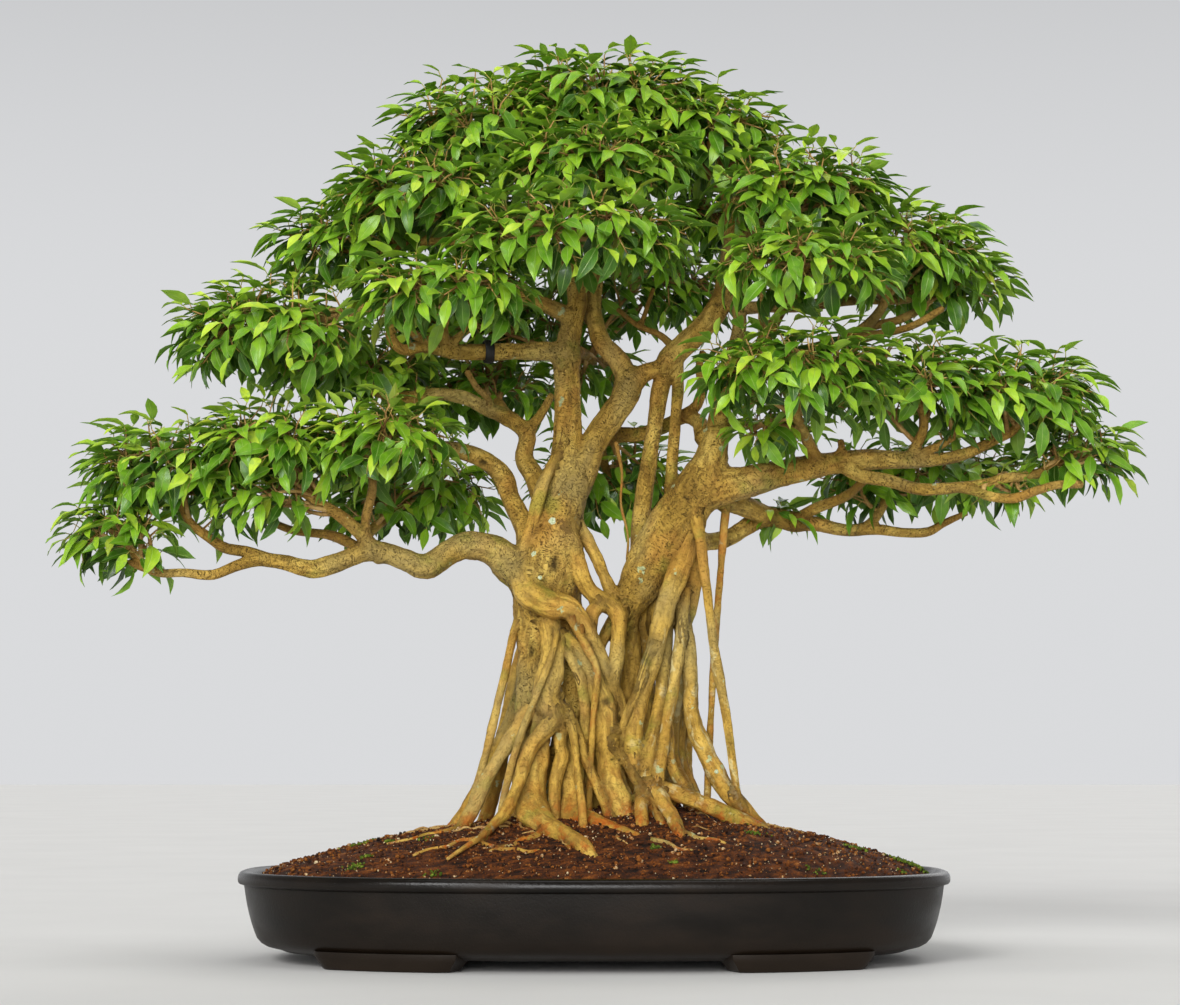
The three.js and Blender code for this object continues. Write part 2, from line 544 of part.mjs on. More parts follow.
function potSolid() {
  const loops = POT_WALL.map(([inset, height]) => ovalLoop(inset, height));
  const body = loftSolid(loops, onAxis(BODY_BOTTOM), onAxis(FLOOR_TOP));
  const feet = [[1, 1], [-1, 1], [1, -1], [-1, -1]].map(([signX, signY]) => footSolid(signX, signY));
  return unionOf([body, ...feet]).subtract(unionOf([drainHole(1), drainHole(-1)]));
}

// The screen over a drain hole: bars both ways, joined where they cross.
function screenSolid(side) {
  const bars = Array.from({ length: SCREEN_BARS }, (_, i) => {
    const offset = (SCREEN_SIZE - BAR_WIDTH) * (i / (SCREEN_BARS - 1) - 0.5);
    return [
      new THREE.BoxGeometry(BAR_WIDTH, SCREEN_SIZE, SCREEN_THICKNESS).translate(offset, 0, 0),
      new THREE.BoxGeometry(SCREEN_SIZE, BAR_WIDTH, SCREEN_THICKNESS).translate(0, offset, 0),
    ];
  });
  const seat = FLOOR_TOP + SEAT_GAP + SCREEN_THICKNESS / 2;
  return unionOf(bars.flat().map((bar) => solidOf(overDrain(bar, side, seat))));
}

// The room that the soil leaves for a screen.
function screenPocket(side) {
  const size = SCREEN_SIZE + 2 * SEAT_GAP;
  const height = SCREEN_THICKNESS + 2 * SEAT_GAP;
  return solidOf(overDrain(new THREE.BoxGeometry(size, size, 2 * height), side, FLOOR_TOP + SEAT_GAP));
}

// The soil fills the pot and rises in a mound, with a plain hole for each root.
function soilSolid(woodRoom) {
  const random = seeded(SOIL_SEED);
  const floor = FLOOR_TOP + SEAT_GAP;
  const [[rimInset, rimHeight], [floorInset]] = POT_WALL.slice(-2);
  const edge = ovalLoop(rimInset + WALL_GAP, rimHeight);
  const mound = SOIL_RINGS.map((share) => edge.map(({ x, y }) => {
    const rise = MOUND_HEIGHT * (1 - share * share) + SOIL_BUMP * (2 * random() - 1);
    return new THREE.Vector3(x * share, y * share, SOIL_EDGE + rise);
  }));
  const loops = [ovalLoop(floorInset + WALL_GAP, floor), edge, ...mound];
  const whole = loftSolid(loops, onAxis(floor), onAxis(SOIL_EDGE + MOUND_HEIGHT));
  return largestBody(whole.subtract(unionOf([woodRoom, screenPocket(1), screenPocket(-1)])));
}

// A root round the back: it leaves the trunk, bows outwards and ends under the soil. Each step is
// [how far out it has gone, how far down, share of its radius].
const BACK_ROOT_STEPS = [[0, 0, 1.2], [0.28, 0.45, 1], [0.62, 0.8, 1.1], [1, 1, 0.9], [1.12, 1.1, 0.6]];
const BACK_ROOT_FOOT = 116;
function backRoot([x, y, top, footX, footY, radius]) {
  return BACK_ROOT_STEPS.map(([out, down, share]) => [
    lerp(x, footX, out), lerp(y, footY, out), lerp(top, BACK_ROOT_FOOT, down), radius * share,
  ]);
}

// Every limb of the tree. One that carries a pad runs on into the middle of the pad.
function allLimbs() {
  const padEnds = Object.values(PADS).map(({ at, from }) => [from, [...at, LIMB_END_RADIUS]]);
  const endOf = Object.fromEntries(padEnds);
  const grown = Object.entries({ ...TRUNKS, ...BRANCHES }).map(([name, points]) => (
    endOf[name] ? [...points, endOf[name]] : points
  ));
  return [...grown, ...Object.values(ROOTS), ...BACK_ROOTS.map(backRoot)];
}

// One leaf blade along +X: an outline with a drawn-out tip, folded along its rib and arched.
function leafSolid(matrix, length, width, thickness) {
  const arch = (share) => length * (ARCH_RISE * share - ARCH_DROP * share * share);
  const edge = (sign, share, half, fold) => [length * share, sign * half, arch(share) - fold];
  const [wide, narrow] = [width / 2, (width / 2) * NARROW_WIDTH];
  const rib = (offset) => [length * RIB_MIDDLE, 0, arch(RIB_MIDDLE) + offset];
  const outline = [
    [0, 0, 0],
    edge(-1, WIDEST_AT, wide, LEAF_FOLD), edge(-1, NARROW_AT, narrow, LEAF_FOLD / 2),
    [length, 0, arch(1)],
    edge(1, NARROW_AT, narrow, LEAF_FOLD / 2), edge(1, WIDEST_AT, wide, LEAF_FOLD),
  ];
  const [top, under] = [outline.length, outline.length + 1];
  const index = outline.flatMap((_, i) => {
    const next = (i + 1) % outline.length;
    return [i, next, top, next, i, under];
  });
  const points = [...outline, rib(thickness / 2), rib(-thickness / 2)];
  const geometry = new THREE.BufferGeometry();
  geometry.setAttribute("position", new THREE.Float32BufferAttribute(points.flat(), 3));
  geometry.setIndex(index);
  return solidOf(geometry.applyMatrix4(matrix));
}

// The pad's core, which the leaves stand out of and hide. "grow" makes the same dome larger, to cut
// clear of it.
function coreSolid({ at, size }, seed, grow = 0) {
  const random = seeded(seed);
  const [x, y, z] = placed(at);
  const [length, depth, height] = size.map((value) => (value + grow) * CORE_SHARE);
  const profile = CORE_PROFILE.map(([radius, level]) => new THREE.Vector2(radius, level));
  const dome = new THREE.LatheGeometry(profile, CORE_SEGMENTS).rotateX(Math.PI / 2);
  dome.deleteAttribute("normal").deleteAttribute("uv");
  const geometry = mergeVertices(dome);
  const position = geometry.getAttribute("position");
  for (let i = 0; i < position.count; i += 1) {
    const spread = 1 + CORE_WOBBLE * (2 * random() - 1);
    const px = x + position.getX(i) * length * spread;
    const py = y + position.getY(i) * depth * spread;
    position.setXYZ(i, px, py, z + position.getZ(i) * height * (1 + CORE_WOBBLE * (2 * random() - 1)));
  }
  return solidOf(geometry);
}

// Where leaf number i of a pad goes: spread evenly over the core from its edge, where the leaves
// hang, to its top, where they rise. A ray from the pad's middle finds the spot on the core.
const UPWARD = new THREE.Vector3(0, 0, 1);
function leafMatrix({ pad: { at, size }, skin }, i, random, turn) {
  const spread = (degrees) => degToRad(degrees) * (2 * random() - 1);
  const share = (i + 0.5) / LEAVES_PER_PAD;
  const around = i * GOLDEN_ANGLE + turn;
  const rise = degToRad(lerp(EDGE_RISE, TOP_RISE, share));
  const pitch = degToRad(lerp(EDGE_PITCH, TOP_PITCH, share)) + spread(PITCH_SPREAD);
  const out = new THREE.Vector3(Math.cos(around), Math.sin(around), 0);
  const ray = out.clone().setZ(Math.tan(rise)).multiply(new THREE.Vector3(...size)).normalize();
  const [x, y, z] = placed(at);
  const [hit] = new THREE.Raycaster(new THREE.Vector3(x, y, z), ray).intersectObject(skin);
  if (!hit) return null;
  const along = out.applyAxisAngle(UPWARD, spread(TURN_SPREAD)).multiplyScalar(Math.cos(pitch));
  along.setZ(Math.sin(pitch));
  const side = UPWARD.clone().cross(along).normalize().applyAxisAngle(along, spread(ROLL_SPREAD));
  const base = hit.point.addScaledVector(along, -LEAF_SINK);
  return new THREE.Matrix4().makeBasis(along, side, along.clone().cross(side)).setPosition(base);
}

// One pad's leaves: a leaf that would cross the wood, another leaf or another pad is turned clear, or
// left out if it can't be.
function padLeaves(number, pads, wood) {
  const random = seeded(LEAF_SEED + number);
  const leaves = [];
  const neighbours = pads.flatMap((other, j) => (j === number ? [] : [other.core, ...other.leaves]));
  for (let i = 0; i < LEAVES_PER_PAD; i += 1) {
    for (let attempt = 0; attempt < LEAF_TRIES; attempt += 1) {
      const matrix = leafMatrix(pads[number], i, random, number + attempt * degToRad(RETRY_TURN));
      const scale = 1 + LEAF_SPREAD * (2 * random() - 1);
      if (!matrix) continue;
      const sizes = [LEAF_LENGTH * scale, LEAF_WIDTH * scale, LEAF_THICKNESS];
      const room = leafSolid(matrix, ...sizes.map((size) => size + LEAF_GAP));
      if ([wood, ...neighbours, ...leaves].some((solid) => overlaps(room, solid))) continue;
      leaves.push(leafSolid(matrix, ...sizes));
      break;
    }
  }
  return leaves;
}

// All pads, each cut clear of the cores of the pads before it and of the wood that carries it.
function padSolids(wood, woodRoom) {
  const pads = Object.entries(PADS).map(([name, pad], i) => ({
    name, pad, core: coreSolid(pad, i), room: coreSolid(pad, i, CORE_GAP), leaves: [],
  }));
  pads.forEach((pad, i) => {
    pads.slice(0, i).filter(({ core }) => overlaps(pad.room, core)).forEach(({ room }) => {
      pad.core = largestBody(pad.core.subtract(room));
    });
  });
  const bothSides = new THREE.MeshBasicMaterial({ side: THREE.DoubleSide });
  pads.forEach((pad, i) => {
    pad.skin = new THREE.Mesh(geometryOf(pad.core), bothSides);
    pad.leaves = padLeaves(i, pads, wood);
  });
  return pads.map(({ name, core, leaves }) => ({
    name, solid: largestBody(unionOf([core, ...leaves]).subtract(woodRoom)),
  }));
}

// The band: a thin ring round its branch, a little thicker in the middle.
function bandSolid(woodRoom) {
  const { curve, radiusAt } = limbCurve(BRANCHES.banded);
  const inner = radiusAt(BAND_SHARE) + WOOD_GAP;
  const half = BAND_WIDTH / 2;
  const profile = [
    [0, -half], [BAND_EDGE_THICKNESS, -half], [BAND_THICKNESS, 0], [BAND_EDGE_THICKNESS, half], [0, half],
    [0, -half],
  ].map(([out, along]) => new THREE.Vector2(inner + out, along));
  const tangent = curve.getTangentAt(BAND_SHARE);
  const turn = new THREE.Quaternion().setFromUnitVectors(new THREE.Vector3(0, 1, 0), tangent);
  const spot = curve.getPointAt(BAND_SHARE);
  const ring = new THREE.LatheGeometry(profile, BAND_SIDES).applyQuaternion(turn);
  return largestBody(solidOf(ring.translate(spot.x, spot.y, spot.z)).subtract(woodRoom));
}

const bonsai = new THREE.Group();
function addPiece(name, solid, colour) {
  const mesh = new THREE.Mesh(geometryOf(solid), new THREE.MeshStandardMaterial(colour));
  mesh.name = name;
  bonsai.add(mesh);
}

const limbs = allLimbs();
const wood = unionOf(limbs.map((points) => limbSolid(points)));
const woodRoom = unionOf(limbs.map((points) => limbSolid(points, WOOD_GAP)));

addPiece("pot", potSolid(), COLOURS.glaze);
addPiece("drain_screen_left", screenSolid(-1), COLOURS.screen);
addPiece("drain_screen_right", screenSolid(1), COLOURS.screen);
addPiece("soil", soilSolid(woodRoom), COLOURS.soil);
addPiece("wood", wood, COLOURS.bark);
addPiece("branch_band", bandSolid(woodRoom), COLOURS.band);
padSolids(wood, woodRoom).forEach(({ name, solid }) => addPiece("foliage_" + name, solid, COLOURS.leaf));

// The origin is the middle of the whole object's outline, on the surface that it stands on.
const centre = new THREE.Box3().setFromObject(bonsai).getCenter(new THREE.Vector3());
bonsai.position.set(-centre.x, -centre.y, 0);

export default bonsai;
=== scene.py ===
import math
from collections import namedtuple

import bpy
import numpy as np
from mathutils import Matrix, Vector, noise
from mathutils.bvhtree import BVHTree


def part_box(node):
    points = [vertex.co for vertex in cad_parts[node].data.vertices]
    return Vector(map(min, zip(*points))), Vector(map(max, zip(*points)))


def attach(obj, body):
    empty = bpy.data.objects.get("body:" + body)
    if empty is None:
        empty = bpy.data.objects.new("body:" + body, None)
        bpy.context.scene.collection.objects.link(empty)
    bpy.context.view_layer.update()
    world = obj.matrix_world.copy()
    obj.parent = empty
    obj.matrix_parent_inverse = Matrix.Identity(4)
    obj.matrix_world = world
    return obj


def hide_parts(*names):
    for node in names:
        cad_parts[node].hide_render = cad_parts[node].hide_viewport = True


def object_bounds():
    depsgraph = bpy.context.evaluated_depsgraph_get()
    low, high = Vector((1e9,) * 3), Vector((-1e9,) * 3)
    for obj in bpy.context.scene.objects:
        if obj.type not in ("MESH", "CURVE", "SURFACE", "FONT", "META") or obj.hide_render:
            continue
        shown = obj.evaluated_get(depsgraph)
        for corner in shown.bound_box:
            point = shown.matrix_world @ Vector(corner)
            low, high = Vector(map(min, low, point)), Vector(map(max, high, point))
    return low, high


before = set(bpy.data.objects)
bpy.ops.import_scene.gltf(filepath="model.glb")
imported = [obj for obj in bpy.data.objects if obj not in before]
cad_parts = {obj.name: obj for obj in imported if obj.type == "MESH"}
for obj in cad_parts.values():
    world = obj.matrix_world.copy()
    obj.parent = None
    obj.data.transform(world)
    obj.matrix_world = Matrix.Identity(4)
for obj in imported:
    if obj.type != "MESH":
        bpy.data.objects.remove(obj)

cad_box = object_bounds()

MM = 0.001
SEED = 2025
GOLDEN_ANGLE = 2.39996
FULL_TURN = 6.28
UP = np.array([0.0, 0.0, 1.0])

# The pot.
POT_LENGTH = 702
POT_WIDTH = 470
OVAL_POWER = 2.5
POT_SEGMENTS = 240
FLOOR_TOP = 22
BODY_BOTTOM = 10
DRAIN_RADIUS = 15
DRAIN_SPACING = 340
DRAIN_SIDES = 48
POT_SHARP_ANGLE = 40

# The pot's wall as [inset from the outline, height], from the underside up, over the lip and down.
POT_WALL = [
    [58, 10], [49, 10], [44.5, 10.6], [40, 12.5], [34, 14], [28, 15.6], [23, 18.5], [19, 23], [16.5, 29],
    [13.5, 38], [11, 47], [9, 56], [7.5, 65], [6.6, 71], [6.2, 74], [4.2, 75.2], [1.4, 76], [0.3, 77.4],
    [0, 79.5], [0.1, 82], [0.8, 84.6], [2.4, 86.8], [4.6, 87.8], [7, 88], [9.6, 87.7], [11.8, 86.6],
    [13.4, 84.8], [14.6, 82], [16, 78], [19, 72], [24, 60], [30, 44], [35, 32], [39.5, 26], [46, 22.8],
    [56, 22],
]

# The feet: the angles between which one stands, the insets of its sides, its levels as [height, taper],
# the degrees that a taper takes off each end, and how its upright edges are rounded.
FOOT_ANGLES = [40, 72]
FOOT_INSETS = [20, 60]
FOOT_LEVELS = [[0, 6.4], [0.7, 5.2], [2.4, 4.4], [6, 3.0], [10, 1.2], [13, 0.2], [17, 0]]
FOOT_STEPS = 22
FOOT_NARROWING = 0.32
FOOT_ROUNDING = 4
FOOT_ROUNDING_POWER = 14

# The soil: a mound from the wall up to the roots, with grains, moss tufts and thin roots on it.
SOIL_RIM = 78
SOIL_EDGE = 84
MOUND_HEIGHT = 56
ROOT_RISE = 14
ROOT_RISE_REACH = 72
ROOT_MIDDLE = [48, 10]
SOIL_INSET = 17.6
SOIL_FLOOR = 22.4
SOIL_FLOOR_INSET = 40.6
SOIL_SIDES = 260
SOIL_RINGS = 80
RIM_SHARE = 0.05
STRAY_ROOTS = 30
STRAY_REACH = [300, 185]
PALE_GRAIN_SIZE = 0.65
MOSS_TUFTS = 26
FULL_TUFTS = [[318, -20, 0], [306, -52, 0]]
TUFT_BITS = [14, 46]
FULL_TUFT_BITS = 90

# Coarse and fine grains: how many, their smallest and largest size, and the share of them that is pale.
GRAINS = [[2000, 1.2, 2.6, 0.03], [7600, 0.55, 1.6, 0.14]]

# The eye that the tree is set out for: its distance from the trunk and its height.
VIEW_DISTANCE = 3000
EYE_HEIGHT = 206
FOCAL_LENGTH = 91.5
SENSOR_WIDTH = 36
AIM_X = -4
AIM_HEIGHT = 453.5

# The wood, as the eye sees it from the front: [x, y, z, radius] along each limb, thick end first.
TRUNKS = {
    "left_trunk": [
        [-52, 10, 70, 30], [-56, 10, 110, 28], [-62, 12, 160, 22], [-63, 10, 230, 16],
        [-60, 8, 300, 15.5], [-53, 2, 348, 28], [-46, 0, 390, 33], [-38, 0, 425, 28], [-31, 0, 455, 21],
        [-28, 0, 485, 17], [-27, 0, 520, 14], [-27, -2, 565, 12.5], [-28, -2, 600, 14],
        [-23, -4, 628, 11], [-17, -4, 652, 10], [-17, -2, 668, 9.5], [-24, 4, 690, 8.5], [-20, 8, 730, 8],
        [-8, 5, 780, 7], [2, 0, 828, 6],
    ],
    "middle_column": [
        [-28, 24, 80, 24], [-26, 24, 150, 20], [-24, 22, 220, 18], [-26, 20, 290, 20], [-38, 8, 400, 20],
    ],
    "right_trunk": [
        [24, 4, 318, 10], [34, 0, 350, 17], [46, 0, 372, 22], [60, 0, 398, 24], [75, 0, 425, 25],
        [92, 0, 450, 25], [108, -2, 474, 22], [118, -3, 498, 17], [123, -5, 520, 13],
        [127, -8, 545, 10.5], [133, -10, 575, 9], [141, -10, 605, 8], [147, -9, 633, 7],
        [146, -6, 655, 6.5], [152, -5, 700, 6],
    ],
    "forked_limb": [
        [-32, 0, 438, 14], [-20, -2, 466, 14], [-9, -2, 486, 13.5], [-1, -2, 512, 12.5],
        [19, -4, 542, 13.5], [34, -4, 568, 14], [31, -2, 586, 11], [20, 0, 602, 9.5], [9, 4, 614, 9.5],
        [0, 10, 645, 9], [4, 30, 700, 8], [16, 70, 770, 6],
    ],
    "grafted_stub": [[30, -4, 564, 11], [45, -4, 581, 10], [66, -2, 590, 8]],
    "inner_limb": [
        [54, 32, 246, 5], [50, 38, 284, 9], [43, 48, 334, 11.5], [46, 48, 380, 10], [45, 36, 423, 9],
        [50, 28, 461, 8.5], [60, 18, 525, 8], [68, 8, 573, 9], [76, 4, 598, 12], [92, 2, 614, 12],
        [116, 0, 637, 11.5], [129, 0, 657, 11], [133, 2, 672, 10.5], [138, 0, 710, 9], [140, -2, 770, 7],
    ],
    "inner_prop": [
        [78, 14, 455, 7], [78, 12, 486, 6], [82, 12, 537, 5.5], [84.6, 8, 573, 6], [82, 4, 602, 8],
    ],
}

BRANCHES = {
    "low_left": [
        [-56, -4, 376, 22], [-82, -8, 389, 18.5], [-100, -12, 405, 15.5], [-127, -16, 410, 13.5],
        [-145, -20, 403, 12.5], [-169, -24, 389, 12.5], [-190, -26, 396, 11], [-220, -28, 405, 9.5],
        [-259, -32, 393, 9.5], [-283, -34, 387, 9], [-310, -36, 393, 7.5], [-337, -38, 396, 6.5],
        [-358, -40, 390, 5.5], [-382, -42, 381, 5], [-412, -44, 383, 4.5], [-440, -44, 384, 4.2],
    ],
    "low_left_rise": [
        [-325, -37, 395, 6.5], [-349, -36, 404, 5.8], [-370, -32, 408, 5.5], [-388, -28, 420, 5],
        [-406, -26, 434, 4.5],
    ],
    "low_left_fork": [
        [-215, -28, 400, 8], [-238, -34, 426, 7], [-256, -40, 441, 6], [-280, -46, 456, 5],
        [-300, -50, 472, 4.5],
    ],
    "low_left_twig": [
        [-226, -28, 404, 6], [-229, -34, 435, 5], [-223, -42, 462, 4.5], [-222, -50, 478, 4],
    ],
    "low_left_rear": [
        [-226, -24, 404, 6.5], [-232, 0, 412, 6], [-225, 40, 424, 5.5], [-205, 80, 440, 4.5],
    ],
    "arched_left": [
        [-62, 2, 398, 15], [-70, 4, 428, 10.5], [-85, 6, 461, 9.5], [-90, 8, 478, 10],
        [-100, 6, 490, 9.5], [-112, 2, 498, 9], [-142, -10, 507, 8], [-166, -22, 508, 7],
        [-190, -40, 502, 5.5],
    ],
    "rear_left": [
        [-44, 10, 444, 14], [-60, 25, 481, 10], [-70, 32, 499, 9], [-67, 36, 522, 8.5], [-83, 40, 537, 8],
        [-108, 44, 548, 7.5], [-128, 46, 558, 7], [-154, 48, 563, 6.5], [-190, 50, 560, 6],
        [-225, 54, 568, 5],
    ],
    "rear_left_fork": [[-88, 40, 538, 7], [-92, 62, 547, 6], [-96, 100, 554, 5.5], [-102, 140, 556, 4.5]],
    "banded": [
        [-26, -2, 598, 12], [-43, -6, 606, 9.5], [-73, -12, 606, 8.5], [-107, -18, 606, 8.5],
        [-139, -26, 606, 8], [-159, -34, 610, 7.5], [-171, -38, 612, 6.5], [-194, -42, 608, 5],
        [-206, -46, 626, 4.8], [-194, -48, 631, 4.5], [-176, -50, 620, 4.2],
    ],
    "banded_rise": [
        [-148, -28, 608, 6], [-152, -48, 628, 5], [-150, -80, 640, 4.5], [-148, -110, 648, 4],
    ],
    "left_reach": [
        [-22, -3, 640, 9], [-60, -20, 658, 7], [-120, -35, 668, 6.5], [-190, -42, 664, 6],
        [-250, -44, 645, 5], [-300, -42, 635, 4],
    ],
    "upper_left": [
        [-22, 4, 688, 9], [-60, -10, 704, 7.5], [-110, -25, 718, 6.5], [-170, -28, 720, 5.5],
        [-240, -15, 708, 4],
    ],
    "low_right": [
        [106, -2, 468, 20], [125, -5, 468, 18], [150, -8, 474, 16], [180, -10, 481, 14],
        [209, -12, 487, 12.5], [238, -14, 493, 11.5], [270, -16, 497, 10.5], [300, -18, 497, 9],
        [330, -20, 496, 7.5], [365, -26, 500, 6], [400, -34, 515, 5], [425, -38, 530, 4],
    ],
    "low_right_under": [
        [250, -15, 492, 8], [264, -22, 482, 7], [294, -30, 476, 6.5], [326, -35, 467, 6],
        [355, -38, 468, 5.8], [390, -38, 472, 5.5], [414, -34, 478, 5], [443, -28, 482, 4.8],
    ],
    "low_right_cut": [
        [366, -38, 469, 5.5], [382, -44, 465, 5], [399, -50, 459.5, 5], [423, -54, 458, 4.8],
        [443, -56, 465, 4.5], [464, -56, 471, 4.3], [490, -56, 472, 4],
    ],
    "low_right_stub": [
        [226, -14, 492, 8], [216, -40, 512, 6], [208, -75, 530, 5.5], [203, -110, 546, 4.5],
    ],
    "low_right_twig": [
        [318, -20, 500, 6], [326, -28, 514, 5.2], [332, -40, 530, 4.5], [332, -50, 540, 4],
    ],
    "low_right_rear": [
        [96, 20, 420, 14], [112, 42, 414, 9], [135, 60, 418.5, 8], [159, 70, 433, 9],
        [176, 74, 439, 10.5], [203, 78, 433, 9], [223, 80, 432, 7], [247, 84, 426, 6.5],
        [272, 88, 428, 5.5], [288, 92, 446, 4.6], [298, 98, 466, 4],
    ],
    "rear_link": [[118, 4, 462, 13], [145, 35, 452, 11], [172, 68, 440, 10]],
    "upper_right": [
        [131, 0, 660, 9], [150, 10, 651, 6.5], [174, 18, 652, 6.2], [208, 26, 652, 6], [262, 34, 658, 5],
        [320, 38, 660, 4],
    ],
    "front_right": [
        [144, -10, 618, 7], [152, -26, 606, 6], [168, -50, 612, 6], [185, -85, 640, 5.2],
        [198, -120, 672, 4.5],
    ],
    "right_reach": [
        [128, -8, 552, 9], [160, -5, 585, 7.5], [200, 0, 602, 6.8], [257, 2, 620, 6], [290, -2, 650, 5],
        [300, -8, 690, 4],
    ],
    "shelf_limb": [[-20, 8, 735, 8], [-20, -30, 728, 6.5], [-22, -80, 714, 5.5], [-20, -130, 708, 4.5]],
    "crown_left_limb": [[-14, 6, 758, 7], [-50, -8, 780, 6], [-90, -20, 800, 4.5]],
    "crown_front_limb": [[-6, 4, 784, 7], [-4, -30, 786, 5.5], [-2, -75, 782, 4.5]],
    "crown_right_limb": [[139, -2, 745, 7.5], [132, -4, 775, 6], [122, -5, 800, 5]],
    "crown_back_limb": [[10, 52, 738, 7], [12, 80, 770, 6], [12, 100, 790, 5]],
    "shelf_left_limb": [[-92, -20, 714, 7], [-120, -45, 730, 5.5], [-150, -62, 744, 4.5]],
    "shelf_right_limb": [[138, 0, 716, 8], [155, -30, 728, 6], [178, -62, 744, 4.5]],
    "back_left_limb": [[2, 26, 690, 8], [-40, 60, 706, 6.5], [-90, 95, 720, 5.5], [-120, 112, 730, 4.5]],
    "back_right_limb": [[138, 0, 700, 8], [142, 45, 708, 6.5], [150, 85, 722, 5.5], [156, 105, 730, 4.5]],
    "back_low_limb": [
        [112, 6, 520, 11], [105, 25, 535, 7.5], [91, 45, 540, 7], [74, 54, 532, 7], [50, 62, 523, 7.5],
        [22, 84, 521, 7.5], [8, 112, 512, 5.5], [10, 140, 495, 4.5],
    ],
}

